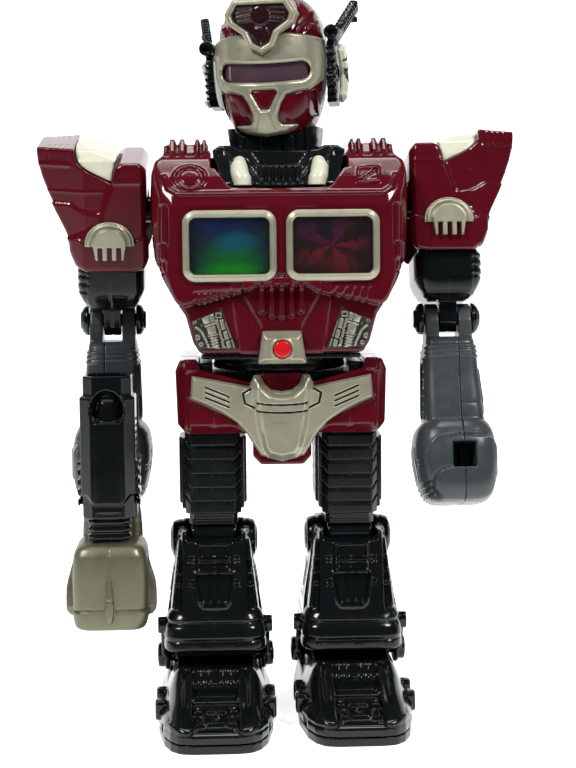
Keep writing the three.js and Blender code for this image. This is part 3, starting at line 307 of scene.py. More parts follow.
def plastic(name, col, rough, dark=0.85, wave=0.05, coat=0.0, spec=0.5, grain=0.0, edge=None, dust=0.0):
    m, t, b = nodes_of(name)
    v = mm_coords(t, 1.0)
    big = noise(t, 45, 3, 0.55, v)          # slow change of tone over the moulding
    fine = noise(t, 900, 2, 0.6, v)
    c = mixc(t, ramp(t, big, 0.3, 0.7, 0, 1), tuple(k * dark for k in col), col)
    # painted highlight: convex edges are lightened towards edge[1], standing in for light catching them
    if edge:
        c = mixc(t, geo_pointiness(t, 0.53, 0.62, 0.0, edge[0]), c, edge[1])
    if dust:
        c = mixc(t, ramp(t, fine, 0.62, 0.8, 0.0, dust), c, (0.6, 0.6, 0.58))
    t.links.new(c, b.inputs["Base Color"])
    r = ramp(t, noise(t, 120, 4, 0.6, v), 0.3, 0.75, rough * 0.75, rough * 1.35)
    sc = scratches(t, v, 160, 0.012)
    r = math_(t, "ADD", r, math_(t, "MULTIPLY", sc, 0.10))
    t.links.new(r, b.inputs["Roughness"])
    b.inputs["Specular IOR Level"].default_value = spec
    b.inputs["IOR"].default_value = 1.5
    if coat:
        b.inputs["Coat Weight"].default_value = coat; b.inputs["Coat Roughness"].default_value = 0.06
    h = math_(t, "ADD", math_(t, "MULTIPLY", noise(t, 55, 1, 0.3, v), 1.0), math_(t, "MULTIPLY", fine, grain))
    bump(t, b, h, wave, 0.0006)
    return m

def lacquer(name, col, rough, metal=0.75, flake=0.06, painted_recess_shade=None, wave=0.03):
    """metallic lacquer on plastic, with painted shade darkening its concave spots"""
    m, t, b = nodes_of(name)
    v = mm_coords(t, 1.0)
    big, fine = noise(t, 60, 3, 0.55, v), noise(t, 2600, 1, 0.5, v)
    c = mixc(t, ramp(t, big, 0.3, 0.7, 0, 1), tuple(k * 0.88 for k in col), col)
    c = mixc(t, ramp(t, fine, 0.35, 0.65, 0.0, flake * 2), c, tuple(min(1, k * 1.25) for k in col))
    # painted shade: concave spots (low pointiness) are mixed towards the darker colour, where shade would fall
    if painted_recess_shade:
        c = mixc(t, geo_pointiness(t, 0.40, 0.50, painted_recess_shade[0], 0.0), c, painted_recess_shade[1])
    t.links.new(c, b.inputs["Base Color"])
    b.inputs["Metallic"].default_value = metal
    r = ramp(t, noise(t, 200, 3, 0.6, v), 0.3, 0.7, rough * 0.85, rough * 1.2)
    t.links.new(r, b.inputs["Roughness"])
    bump(t, b, math_(t, "ADD", noise(t, 90, 2, 0.5, v), math_(t, "MULTIPLY", fine, 0.25)), wave, 0.002)
    return m

RED = plastic("wine_gloss", (0.084, 0.0028, 0.0084), 0.10, wave=0.10, spec=0.38)
# black_gloss has a painted highlight along its convex edges
BLACK = plastic("black_gloss", (0.0030, 0.0046, 0.0050), 0.15, wave=0.10, spec=0.34, edge=(0.20, (0.016, 0.020, 0.021)))
BLACKSAT = plastic("black_satin", (0.0042, 0.0062, 0.0066), 0.24, wave=0.06, spec=0.30)
GREY = plastic("grey_satin", (0.037, 0.046, 0.050), 0.30, wave=0.08, spec=0.45, grain=0.1)
# the champagne and gold lacquers carry painted shade in their recesses
CHAMP = lacquer("champagne_lacquer", (0.385, 0.37, 0.272), 0.36, 0.6, painted_recess_shade=(0.75, (0.10, 0.09, 0.06)))
GOLD = lacquer("olive_gold_lacquer", (0.155, 0.150, 0.096), 0.38, 0.62, flake=0.12, painted_recess_shade=(0.6, (0.05, 0.045, 0.03)))
def relief_silver(name):
    """metallic lacquer with black paint lying in the depth of the moulding, and painted shade in its concave spots"""
    m = lacquer(name, (0.40, 0.395, 0.315), 0.32, 0.6, flake=0.03, painted_recess_shade=(0.8, (0.03, 0.028, 0.022)))
    t = m.node_tree; b = t.nodes["Principled BSDF"]
    old = b.inputs["Base Color"].links[0].from_socket
    tc = t.nodes.new("ShaderNodeTexCoord"); sp = t.nodes.new("ShaderNodeSeparateXYZ")
    t.links.new(tc.outputs["Object"], sp.inputs[0])
    deep = ramp(t, math_(t, "ADD", sp.outputs[1], math_(t, "MULTIPLY", noise(t, 300, 2, 0.6), 0.0002)), -0.01850, -0.01785, 0.0, 1.0)
    t.links.new(mixc(t, deep, old, (0.030, 0.030, 0.023)), b.inputs["Base Color"])
    t.links.new(ramp(t, deep, 0.0, 1.0, 0.75, 0.1), b.inputs["Metallic"])
    return m
SILVER = relief_silver("silver_lacquer")
CREAM = plastic("cream_plastic", (0.60, 0.60, 0.47), 0.26, dark=0.93, wave=0.03, spec=0.5)
INK = plastic("black_ink", (0.004, 0.004, 0.004), 0.42, wave=0.02, spec=0.3)
BUTTON = plastic("button_red", (0.56, 0.006, 0.010), 0.20, wave=0.03, coat=0.4)
MAROON = plastic("dark_maroon", (0.020, 0.0035, 0.0060), 0.12, wave=0.04, coat=0.3)
INNER = plastic("inner_plastic", (0.03, 0.03, 0.028), 0.5, wave=0.1, grain=0.4)

def steel(name):
    m, t, b = nodes_of(name)
    v = mm_coords(t, 1.0)
    t.links.new(mixc(t, noise(t, 300, 4, 0.7, v), (0.32, 0.32, 0.31), (0.55, 0.55, 0.53)), b.inputs["Base Color"])
    b.inputs["Metallic"].default_value = 1.0
    t.links.new(ramp(t, noise(t, 500, 3, 0.6, v), 0.3, 0.7, 0.25, 0.45), b.inputs["Roughness"])
    return m
STEEL = steel("plated_steel")

def smoke(name):
    m, t, b = nodes_of(name)
    v = mm_coords(t, 1.0)
    c = mixc(t, ramp(t, noise(t, 60, 2, 0.5, v), 0.3, 0.7, 0, 1), (0.058, 0.030, 0.043), (0.080, 0.044, 0.058))
    t.links.new(c, b.inputs["Base Color"])
    t.links.new(ramp(t, noise(t, 150, 3, 0.5, v), 0.3, 0.7, 0.05, 0.09), b.inputs["Roughness"])
    b.inputs["Coat Weight"].default_value = 0.5
    bump(t, b, noise(t, 60, 2, 0.4, v), 0.04, 0.002)
    return m
SMOKE = smoke("smoky_visor")

def clear(name):
    m, t, b = nodes_of(name)
    v = mm_coords(t, 1.0)
    b.inputs["Base Color"].default_value = (0.95, 0.97, 1, 1)
    b.inputs["Transmission Weight"].default_value = 1.0
    b.inputs["IOR"].default_value = 1.45
    t.links.new(ramp(t, noise(t, 120, 3, 0.6, v), 0.3, 0.7, 0.015, 0.05), b.inputs["Roughness"])
    b.inputs["Alpha"].default_value = 0.22
    return m
CLEAR = clear("clear_lens")

def card(name, kind, cx, cz):
    """changing-picture card: soft colour clouds behind fine upright lens ribs, made to glow as painted light"""
    m, t, b = nodes_of(name)
    tc = t.nodes.new("ShaderNodeTexCoord"); sp = t.nodes.new("ShaderNodeSeparateXYZ")
    t.links.new(tc.outputs["Object"], sp.inputs[0])
    x = math_(t, "MULTIPLY", math_(t, "SUBTRACT", sp.outputs[0], cx / 1000.0), 1000 / 17.2)      # -1..1 over the card
    z = math_(t, "MULTIPLY", math_(t, "SUBTRACT", sp.outputs[2], (cz - LIFT) / 1000.0), 1000 / 12.0)
    v = mm_coords(t, 1.0)
    n1 = math_(t, "SUBTRACT", noise(t, 110, 3, 0.55, v, 0.6), 0.5)
    n2 = math_(t, "SUBTRACT", noise(t, 260, 3, 0.6, v, 1.2), 0.5)
    ribs = t.nodes.new("ShaderNodeTexWave"); ribs.wave_type = "BANDS"; ribs.bands_direction = "X"; ribs.inputs["Scale"].default_value = 620
    t.links.new(v, ribs.inputs["Vector"])
    def blob(ax, az, sx, sz, soft):
        dx = math_(t, "MULTIPLY", math_(t, "SUBTRACT", math_(t, "ADD", x, math_(t, "MULTIPLY", n1, 0.5)), ax), 1 / sx)
        dz = math_(t, "MULTIPLY", math_(t, "SUBTRACT", math_(t, "ADD", z, math_(t, "MULTIPLY", n1, 0.5)), az), 1 / sz)
        d = math_(t, "SQRT", math_(t, "ADD", math_(t, "MULTIPLY", dx, dx), math_(t, "MULTIPLY", dz, dz)))
        return ramp(t, d, 1 - soft, 1 + soft, 1.0, 0.0)
    k = 0.40
    if kind == "green":
        c = mixc(t, blob(0.08, -0.25, 0.66, 0.9, 0.6), (0.001, 0.007, 0.014), (0.0, 0.075, 0.11))
        c = mixc(t, blob(-0.1, 0.9, 0.8, 0.5, 0.5), c, (0.0, 0.014, 0.12))
        c = mixc(t, blob(0.05, -0.65, 0.62, 0.62, 0.6), c, (0.0, 0.22, 0.02))
        c = mixc(t, blob(0.0, -0.95, 0.60, 0.28, 0.5), c, (0.0, 0.42, 0.015))
        c = mixc(t, blob(0.15, 0.15, 0.42, 0.3, 0.5), c, (0.0, 0.15, 0.24))
        glow = 0.10
    else:
        turn = math_(t, "ADD", math_(t, "MULTIPLY", math_(t, "ARCTAN2", z, x), 5.0), math_(t, "MULTIPLY", n2, 9.0))
        star = math_(t, "SUBTRACT", 0.30, math_(t, "MULTIPLY", math_(t, "COSINE", turn), 0.55))
        base = mixc(t, blob(0.0, -0.1, 0.8, 0.9, 0.7), (0.003, 0.0015, 0.004), (0.22, 0.008, 0.020))
        base = mixc(t, blob(-0.25, 0.6, 0.5, 0.4, 0.6), base, (0.05, 0.005, 0.07))
        c = mixc(t, ramp(t, star, -0.1, 0.5, 0.0, 0.9), base, (0.008, 0.002, 0.004))
        c = mixc(t, math_(t, "MULTIPLY", blob(0.05, -0.7, 0.5, 0.35, 0.6), 0.35), c, (0.26, 0.016, 0.016))
        glow = 0.10
    c = mixc(t, 1.0 - k, c, (0.0, 0.0, 0.0))
    c = mixc(t, math_(t, "MULTIPLY", ribs.outputs["Fac"], 0.22), c, (0.0, 0.0, 0.0))
    t.links.new(c, b.inputs["Base Color"])
    # painted light: the card's colour is also emitted, so it glows though it holds no lamp
    t.links.new(c, b.inputs["Emission Color"])
    b.inputs["Emission Strength"].default_value = glow
    b.inputs["Roughness"].default_value = 0.35
    bump(t, b, ribs.outputs["Fac"], 0.15, 0.0004)
    return m
CARD = {"right": card("card_green", "green", -22.4, 213.3), "left": card("card_red", "red", 22.4, 213.3)}

# ------------------------------------------------------------------ trunk
def front(g, y0=-20.0, soft=4.0):
    """1 on the front of a piece, fading out behind y0"""
    return np.clip((y0 - g.y) / soft, 0, 1)

def chest():
    g = Grid((-58.8, 58.8), (-47.6, 35), (165, 261), 0.56)
    x, y, z, ax = g.x, g.y, g.z, np.abs(g.x)
    prof = sym([(0, 255), (31, 255), (31.4, 261.5), (50.4, 261.5), (51, 253.6), (54.6, 250.6), (56.6, 245), (57.4, 235), (57.2, 222), (55.6, 208), (51.6, 199), (46.6, 190),
                (42.0, 183), (38.8, 171), (35.6, 166), (0, 165.99)])
    plan = sym([(0, -47.2), (41.4, -47), (47.6, -45.4), (52.4, -41.2), (55.8, -35.5), (58, -27), (58, 18), (53, 29), (45, 35), (0, 35)])
    hum = (ax > 31.2) & (ax < 50.6) & (z > 251)
    ribs = sum(relief(np.abs(ax - c) - w / 2, 1.0, 0.42) for c, w in ((32.7, 2.0), (35.9, 2.0), (42.6, 2.5), (46.9, 2.7)))
    up = poly(y, z, [(-44.6, 184), (-46, 190), (-46, 230.5), (-43.4, 235.2), (-38, 243), (-31, 251), (-25, 255.4), (-20, 260.8), (20, 260.8), (24, 255.4), (31, 250), (34, 243), (34, 184)], 2.4)
    up = np.where(hum, up + 2.6 * (1 - np.clip(ribs, 0, 1)) * ss((z - 252.0) / 2.5), g.full(up))
    edge = sym([(0, 262), (70, 262), (70, 187.6), (41.7, 187.5), (26.9, 191.0), (18, 193.2), (12.2, 197.4), (0, 197.41)])
    up = smax(up, poly(x, z, edge, 1.0), 1.2)
    belly = poly(y, z, [(-38.3, 165), (-40.4, 190), (-40.8, 215), (34, 215), (34, 172), (31, 165)], 1.5)
    V = smin(up, g.full(belly), 0.7)
    V = smax(V, poly(x, z, prof, 3.2), 2.0)
    V = smax(V, poly(x, y, plan, 3.0), 3.2)
    # raised and sunk detail on the front, as a height over (x, z)
    R = 0.0
    bead = path(ax, z, [(0, 235.9), (44.6, 235.9), (48.4, 238.4), (50.2, 243.5)])
    R = R + relief(bead - 0.75, 1.1, 0.8)
    e = (np.hypot((x + 39.2) / 7.4, (z - 243.2) / 5.4) - 1) * 5.6
    R = R + relief(np.abs(e + 0.5) - 0.55, 0.95, 0.45) + relief(e + 2.2, 0.7, 0.5)
    lug = poly(x, z, [(33.2, 240.0), (43.9, 240.4), (43.6, 247.8), (34.2, 247.2)], 0.8)
    R = R + relief(np.abs(lug + 0.5) - 0.5, 0.9, 0.4) - relief(np.maximum(seg(x, z, (35.6, 241.4), (42.8, 246.2)) - 0.5, lug), 0.7, 0.4)
    R = R + relief(poly(x, z, [(34.6, 241.2), (41.8, 246.4), (35.4, 246.2)], 0.4), 0.55, 0.4)
    # side panels on the corners, with their steps
    for c, zz, hw, hh in ((50.6, 222.5, 1.7, 8.5), (51.6, 210.5, 2.0, 3.6), (51.8, 204, 1.6, 2.2)):
        R = R - relief(np.abs(rbox(ax, z, c, zz, hw, hh, 0.8)) - 0.32, 0.65, 0.35)
    # wedge-shaped vent
    vent = poly(x, z, [(-38.4, 193.6), (-14.6, 194.6), (-14.4, 192.6), (-35.4, 186.9), (-38.4, 187.4)], 0.6)
    bars = np.cos((x + 38.4) * 2 * np.pi / 2.55)
    R = R - relief(vent, 0.85, 0.4) + relief(vent + 0.7, 0.75, 0.3) * ss(0.5 + bars * 1.2)
    R = R - relief(np.abs(vent - 0.9) - 0.3, 0.15, 0.3)
    # five slanting slots
    for a, b, c in ((24.2, 21.9, 190.6), (28.5, 25.9, 190.0), (32.1, 30.4, 189.2), (35.4, 33.6, 188.6), (38.6, 36.9, 187.9)):
        R = R - relief(seg(x, z, (a, 194.6), (b, c)) - 0.5, 0.7, 0.4)
    # bulge lip shading line, window surrounds
    for s in (-1, 1):
        R = R - relief(np.abs(rbox(x, z, s * 22.4, 213.3, 21.2, 16.3, 5.8)) - 0.28, 0.45, 0.3)
    R = R - relief(seg(x, z, (-2.2, 199.6), (2.2, 199.6)) - 0.35, 0.5, 0.3)
    # belly: centre shield, facets and the five fingers
    shield = poly(x, z, sym([(0, 200), (17.6, 200), (16.2, 191), (8.9, 177.8), (8.4, 160), (0, 160)]))
    R = R + relief(shield, 0.75, 0.3) - relief(np.abs(shield - 0.5) - 0.4, 0.55, 0.35)
    wide = poly(x, z, sym([(0, 200), (22.4, 200), (21.2, 188), (17.6, 160), (0, 160)]))
    R = R + relief(wide, 0.7, 0.45)
    for c, b in ((0, 181.4), (4.3, 181.9), (8.6, 183.6)):
        f = seg(ax, z, (c, 195.0), (c * 0.985, b + 1.35)) - 1.2
        R = R + relief(f, 1.9, 0.5) - relief(np.abs(f - 0.55) - 0.3, 0.3, 0.3)
    V = V - R * front(g, -28, 6)
    # openings
    V = np.maximum(V, -np.maximum(rbox(ax, z, 22.4, 213.3, 18.9, 14.4, 4), y + 41.4))
    panel = poly(ax, z, [(39.8, 180.8), (26, 186.4), (19.2, 167.5), (37.2, 168.3)])
    V = np.maximum(V, -np.maximum(panel, y + 39.9))
    V = np.maximum(V, -np.maximum(poly(x, z, sym([(0, 262), (17.8, 262), (21, 258), (30.2, 258), (29.9, 252.0), (28.4, 247.6), (23.4, 240.2), (21.4, 238.6), (0, 238.0)])), y - 24.4))
    V = np.maximum(V, -(np.hypot(y, z - 230) - 9.4 + 0 * x))
    V = np.maximum(V, -np.maximum(rbox(x, z, 0, 208, 29.3, 30.3, 3), 12.0 - y))
    V = np.maximum(V, -np.maximum(np.maximum(np.abs(x) - 30, slab(z, 168, 252)), slab(y, -34, 14)))
    V = np.maximum(V, -np.maximum(rbox(x, z, 0, 245.5, 6.4, 2.3, 0.6), 28 - y))
    # ribs and lines on the back: panel round the door, speaker slots above the belt
    B = -relief(np.abs(rbox(x, z, 0, 208, 32.5, 33.5, 4)) - 0.45, 0.6, 0.35)
    for k in range(-3, 4):
        B = B - relief(seg(x, z, (k * 5.0, 171.0), (k * 5.0, 174.4)) - 0.8, 1.2, 0.4)
    for k in range(5):
        B = B - relief(seg(ax, z, (38.5, 196 + k * 5.0), (47 + k * 0.7, 198 + k * 5.0)) - 0.7, 1.0, 0.4)
    V = V - B * np.clip((y - 20) / 4, 0, 1)
    V = V + relief(np.abs(z - 218) - 0.4 + 0 * x, 0.5, 0.3) * (ax > 53) * (np.abs(y + 5) < 26)
    gap = 0.13
    sculpt("chest_front", g, np.maximum(V, y - 5 + gap), ROOT, "torso", RED, ["chest_front"], 100000)
    sculpt("chest_back", g, np.maximum(V, 5 + gap - y), ROOT, "torso", RED, ["chest_back"], 24000)

def bezel():
    g = Grid((1.6, 43.4), (-48.4, -42.5), (197.4, 229.2), 0.36)
    x, y, z = g.x, g.y, g.z
    cx, cz = 22.4, 213.3
    o = rbox(x, z, cx, cz, 20.3, 15.4, 5.6); i = rbox(x, z, cx, cz, 17.35, 12.2, 2.8)
    # the frame is a rounded band falling away to both edges
    top = -48.35 + 1.15 * ss((o + 2.2) / 2.2) + 0.9 * ss((1.2 - i) / 1.2)
    V = smax(smax(g.full(o), top - y, 0.5), g.full(-i), 0.35)
    V = np.maximum(V, y + 46.3)
    skirt = np.maximum(np.maximum(rbox(x, z, cx, cz, 18.4, 13.9, 3.8), -i), slab(y, -46.6, -42.6))
    sculpt("window_bezel", g, np.minimum(V, skirt), {s: ROOT for s in BOTH}, lambda s: "torso", CHAMP, ["*_window_bezel"], 16000, BOTH)

def abdomen():
    g = Grid((18.8, 40.2), (-42.4, -39.5), (167, 187), 0.17)
    x, y, z = g.x, g.y, g.z
    o = poly(x, z, [(39.4, 180.6), (26.1, 185.9), (19.6, 168.0), (36.9, 168.8)], 0.5)
    H = 0.12 + 0 * x + 0 * z
    def rod(p, q, ra, rb, base=0.3, k=0.8, wave=0.0, period=1.2):
        """half-round bar lying on the panel, tapering from ra to rb, with rings along it"""
        dx, dz = q[0] - p[0], q[1] - p[1]; L = math.hypot(dx, dz)
        t = ((x - p[0]) * dx + (z - p[1]) * dz) / L; w = ((x - p[0]) * -dz + (z - p[1]) * dx) / L
        r = ra + (rb - ra) * np.clip(t / L, 0, 1)
        if wave: r = r * (1 - wave * (0.5 + 0.5 * np.cos(t * 2 * np.pi / period)))
        end = ss((t + 0.1) / 0.2) * ss((L - t + 0.1) / 0.2)
        return np.where(np.abs(w) < r, base + k * np.sqrt(np.maximum(r * r - w * w, 0)), 0) * end
    # big barrel with collars, then a narrower one and a bellows at its foot
    H = np.maximum.reduce([H, rod((33.0, 185.2), (31.4, 179.9), 3.3, 2.75, 0.3, 0.60), rod((31.3, 179.6), (31.0, 178.6), 2.9, 2.8, 0.4, 0.60),
        rod((31.0, 178.4), (30.2, 174.9), 2.15, 2.0, 0.3, 0.72), rod((30.15, 174.8), (30.0, 174.1), 2.5, 2.5, 0.3, 0.70),
        rod((30.0, 174.0), (28.7, 168.2), 2.25, 2.1, 0.3, 0.78, 0.34, 1.25)])
    H = H - relief(seg(x, z, (31.9, 183.4), (30.9, 180.4)) - 0.22, 0.5, 0.15)
    # ringed hose curling down on the outer side
    pts = [(37.9, 178.2), (36.4, 177.4), (34.9, 175.8), (33.8, 173.4), (32.6, 171.0), (31.8, 168.4)]
    for a, b in zip(pts, pts[1:]):
        H = np.maximum(H, rod(a, b, 0.85, 0.85, 0.35, 0.9, 0.30, 0.62))
    for cx, cz, r, h in ((36.9, 173.6, 1.35, 1.3), (35.3, 170.6, 1.1, 1.2), (37.9, 180.2, 0.9, 1.1), (35.0, 178.9, 0.6, 1.0), (37.3, 170.4, 0.6, 0.9)):
        H = np.maximum(H, relief(np.hypot(x - cx, z - cz) - r, h, 0.3) - relief(np.hypot(x - cx, z - cz) - r * 0.42, 0.55, 0.2))
    # socket and long rods broken into links down the inner side
    H = np.maximum(H, relief(rbox(x, z, 27.6, 183.2, 1.45, 1.35, 0.3), 1.9, 0.2) - relief(rbox(x, z, 27.6, 183.2, 0.75, 0.65, 0.2), 1.1, 0.2))
    for p, q, r in (((28.5, 181.4), (27.4, 177.2), 0.7), ((27.3, 176.6), (26.3, 172.8), 0.7), ((26.2, 172.3), (25.4, 169.0), 0.7),
                    ((26.5, 181.4), (25.2, 176.9), 1.0), ((25.0, 176.3), (23.9, 172.6), 1.0), ((23.8, 172.0), (22.9, 169.0), 1.0),
                    ((24.4, 180.0), (22.2, 173.2), 0.45), ((22.0, 172.6), (20.9, 169.0), 0.45)):
        H = np.maximum(H, rod(p, q, r, r, 0.7, 0.9))
    for cx, cz in ((26.9, 176.9), (25.6, 172.5), (24.9, 169.3)):
        H = np.maximum(H, relief(rbox(x, z, cx, cz, 0.55, 0.35, 0.1), 1.7, 0.15))
    H = np.minimum(np.maximum(H, 0), 2.4) * ss(-o / 0.5)
    V = np.maximum(np.maximum(g.full(o), -39.9 - H - y), y + 39.5)
    V = np.maximum(V, -42.38 - y)
    sculpt("abdomen_panel", g, V, {s: ROOT for s in BOTH}, lambda s: "torso", SILVER, ["*_abdomen_panel"], 40000, BOTH, times=1)

def housing():
    g = Grid((-11, 11), (-46, -40.2), (161.5, 176.3), 0.26)
    x, y, z = g.x, g.y, g.z
    ax = np.abs(x)
    t = (176.2 - z) / 14.6
    side = ax - (8.4 + 2.3 * t)
    V = smax(smax(g.full(side), slab(z, 161.65, 176.15), 0.9), slab(y, -45.9, -40.3), 0.6)
    V = smax(V, (ax - (6.5 + 1.9 * t) + (-(y + 45.9)) * -0.0 + (-45.9 - y) * 0 + (y + 45.9) * -0.95) / 1.38, 0.5)
    V = smax(V, (z - 172.9 - (y + 45.9) * 0.95) / 1.38, 0.5)
    V = smax(V, (163.9 - z - (y + 45.9) * 0.62) / 1.18, 0.5)
    r = np.hypot(x, z - 168.3)
    V = V - relief(np.abs(r - 4.75) - 0.35, 0.35, 0.3) * (y < -44)
    V = np.maximum(V, -(r - 4.05 + 0 * y))
    sculpt("button_housing", g, V, ROOT, "torso", CHAMP, ["button_housing"], 14000)
    g = Grid((-3.9, 3.9), (-47.2, -42.4), (164.4, 172.2), 0.2)
    r = np.hypot(g.x, g.z - 168.3)
    dome = -47.15 + r * r * 0.028
    V = smax(smax(g.full(r - 3.78), dome - g.y, 0.7), g.y + 42.4, 0.3)
    sculpt("demo_button", g, V, ROOT, "demo_button", BUTTON, ["demo_button"], 8000)

def collar():
    g = Grid((-29.6, 29.6), (-37.6, 24.1), (235.8, 257.8), 0.42)
    x, y, z, ax = g.x, g.y, g.z, np.abs(g.x)
    front2 = poly(x, z, sym([(0, 255.6), (17.2, 255.6), (20.6, 257.6), (26, 257.6), (29.4, 255.2), (25.4, 239.2), (0, 238.4)]), 0.8)
    side2 = poly(y, z, [(-37.4, 236), (-37, 240.8), (-25, 257.7), (22, 257.7), (24, 255), (24, 236)], 0.8)
    V = smax(g.full(front2), g.full(side2), 0.9)
    sl = 16.9 / 12.0                                   # the front slopes back
    f = np.clip((-22 - y) / 3, 0, 1)
    n = 0.82                                           # slope normal factor
    R = 0.0
    # flanks: hollow curved facets outside the pipes
    hollow = path(ax, z, [(23.2, 240), (21.0, 246), (22.8, 252), (26, 257)])
    R = R - relief(seg(ax, z, (24.4, 241), (25.4, 252)) - 1.2, 0.9, 1.8)
    R = R + relief(path(ax, z, [(20.8, 239), (19.8, 245), (21.6, 251.4), (24, 256)]) - 0.35, 0.9, 0.8)
    # pocket round each pipe
    R = R - relief(seg(ax, z, (16.2, 240), (17.2, 247.6)) - 4.2, 1.2, 0.7)
    # keystone panel lines
    R = R - relief(path(ax, z, [(14.0, 256), (9.2, 249.0), (0, 248.9)]) - 0.35, 0.7, 0.3)
    R = R - relief(np.maximum(poly(ax, z, [(14.2, 256), (9.4, 249.0), (-1, 249.0), (-1, 258), (13, 258)]), -99), 0.45, 0.35)
    # grille of upright slots
    for c in (0.0, 3.0, 6.0):
        R = R - relief(seg(ax, z, (c, 247.0), (c, 240.8)) - 0.75, 1.6, 0.35)
        R = R + relief(rbox(ax, z, c + 1.5, 241.6, 0.7, 0.55, 0.2), 0.9, 0.25)
    R = R - relief(np.abs(seg(ax, z, (10.4, 247.6), (9.2, 240.4)) - 0.0) - 0.4, 0.8, 0.3)
    R = R - relief(seg(ax, z, (12.4, 246.8), (9.8, 243.8)) - 0.4, 0.7, 0.3)
    V = V - R * f * n
    V = np.maximum(V, -np.maximum(np.hypot(x, y) - 22.6, 248.2 - z))
    V = np.maximum(V, -np.maximum(np.abs(x) - 21, np.maximum(slab(z, 230, 245.0), slab(y, -24, 21.8))))
    sculpt("collar", g, V, ROOT, "torso", BLACK, ["collar"], 40000)
    g = Grid((12, 21.6), (-41.4, -26), (239.2, 256.2), 0.24)
    pts = [(17.4, -30.4, 249.6), (17.7, -33.0, 247.0), (17.2, -35.3, 243.6), (16.2, -36.5, 240.6)]
    V = tube(g, pts, [2.9, 3.5, 3.65, 3.5])
    V = smin(V, tube(g, pts[1:3], [3.65, 3.7]), 1.2)
    V = smax(V, 239.5 - g.z, 0.4)
    end = tube(g, [(16.3, -36.4, 242.2), (16.15, -37.0, 239.0)], [3.85, 3.85])
    V = smin(V, smax(end, 239.5 - g.z, 0.4), 0.4)
    core = tube(g, [(16.4, -36.4, 241.2), (16.15, -37.2, 238.0)], [2.5, 2.5])
    V = np.maximum(V, -core)
    V = V + relief(np.abs(g.z - (g.y + 32) * 0.9 - 246.0) - 0.25 + 0 * g.x, 0.35, 0.25)
    sculpt("collar_pipe", g, V, {s: ROOT for s in BOTH}, lambda s: "torso", CREAM, ["*_collar_pipe"], 12000, BOTH)

def waist():
    g = Grid((-35.6, 35.6), (-37.8, 31.8), (151, 169), 0.6)
    x, y, z = g.x, g.y, g.z
    pl = poly(x, y, sym([(0, -37.6), (31, -37.6), (35.4, -33), (35.4, 28), (31, 31.6), (0, 31.6)]), 1.5)
    r = np.hypot(x, y)
    V = smax(g.full(pl), slab(z, 163.55, 165.6), 0.5)
    V = np.minimum(V, np.maximum(r - 34.4, smax(g.full(poly(x, y, sym([(0, -36.0), (30, -36.0), (33.6, -32), (33.6, 27), (30, 30.2), (0, 30.2)]), 1.5)), slab(z, 162.2, 164), 0.4)))
    V = np.minimum(V, smax(r - 30.1, slab(z, 157.5, 164), 0.4) - relief(np.abs(r - 27) - 0.5 + 0 * z, 0.0, 0.3))
    V = np.minimum(V, np.maximum(r - 6.1, slab(z, 151.3, 158)))
    V = np.minimum(V, np.maximum(r - 11.5, slab(z, 165, 168.9)))
    V = V + relief(np.abs(z - 160.6) - 0.35 + 0 * x, 0.5, 0.3) * (r > 26) * (z < 162)
    sculpt("waist_plate", g, V, ROOT, "torso", BLACKSAT, ["waist_plate"], 14000)

def back():
    # battery door with finger grip, ribs and a screw hole
    g = Grid((-29, 29), (31.6, 34.4), (178, 238), 0.3)
    x, y, z = g.x, g.y, g.z
    V = smax(rbox(x, z, 0, 208, 28.95, 29.95, 3) + 0 * y, slab(y, 31.65, 34.1), 0.5)
    R = relief(rbox(x, z, 0, 211, 24.6, 23.4, 3), 0.28, 0.4) + 0 * y
    for k in range(7):
        R = R - relief(seg(x, z, (-8 + k * 0.6, 230.0 - k * 2.2), (8 - k * 0.6, 230.0 - k * 2.2)) - 0.55, 0.7, 0.35)
    R = R - relief(np.abs(rbox(x, z, 0, 200, 17, 10, 2)) - 0.35, 0.5, 0.3)
    V = V - R * (y > 33)
    V = np.maximum(V, -(np.hypot(x, z - 183) - 2.45 + 0 * y))
    V = np.maximum(V, y - 34.38)
    sculpt("battery_door", g, V, ROOT, "battery_door", RED, ["battery_door"], 20000)
    g = Grid((-3.1, 3.1), (31.9, 36), (243.4, 247.6), 0.16)
    x, y, z = g.x, g.y, g.z
    V = smax(rbox(x, z, 0, 245.5, 2.95, 1.85, 0.5) + 0 * y, slab(y, 31.95, 34.15), 0.2)
    thumb = smax(rbox(x, z, 0, 245.5, 1.55, 1.65, 0.3) + 0 * y, slab(y, 34, 35.95), 0.3)
    thumb = thumb + relief(np.abs(((x * 1.6) % 1.0) - 0.5) * 0.6 - 0.1 + 0 * z, 0.22, 0.1) * (y > 35.2)
    sculpt("power_switch", g, np.minimum(V, thumb), ROOT, "power_switch", BLACK, ["power_switch"], 6000)

# ------------------------------------------------------------------ pelvis
def deck():
    """bearing deck under the waist, filling the valley between the corners"""
    g = Grid((-36.6, 36.6), (-27, 29), (151, 162), 0.4)
    x, y, z = g.x, g.y, g.z
    V = smax(poly(x, z, sym([(0, 156.8), (29.2, 156.8), (33.2, 156.9), (33.2, 155.4), (14.2, 151.7), (0, 151.7)]), 0.4) + 0 * y, slab(y, -25.8, 27.8) + 0 * x + 0 * z, 0.5)
    r = np.hypot(x, y)
    V = V + relief(np.abs(r - 24) - 0.6 + 0 * z, 0.5, 0.4) + relief(np.abs(r - 16) - 0.6 + 0 * z, 0.5, 0.4)
    V = np.maximum(V, -(r - 6.6 + 0 * z))
    # raised shoulders that close the valley beside the turning drum
    side = smax(poly(np.abs(x), z, [(30.6, 155.0), (34.4, 155.2), (36.4, 161.3), (30.6, 161.3)], 0.4) + 0 * y, slab(y, -26.4, 28.2) + 0 * x + 0 * z, 0.5)
    side = np.maximum(side, 30.75 - r + 0 * z)
    side = side + relief(np.abs(z - 159.4) - 0.3 + 0 * x, 0.4, 0.3) * (y < -20)
    V = np.minimum(V, side)
    sculpt("pelvis_deck", g, V, ROOT, "pelvis", BLACKSAT, (), 12000)

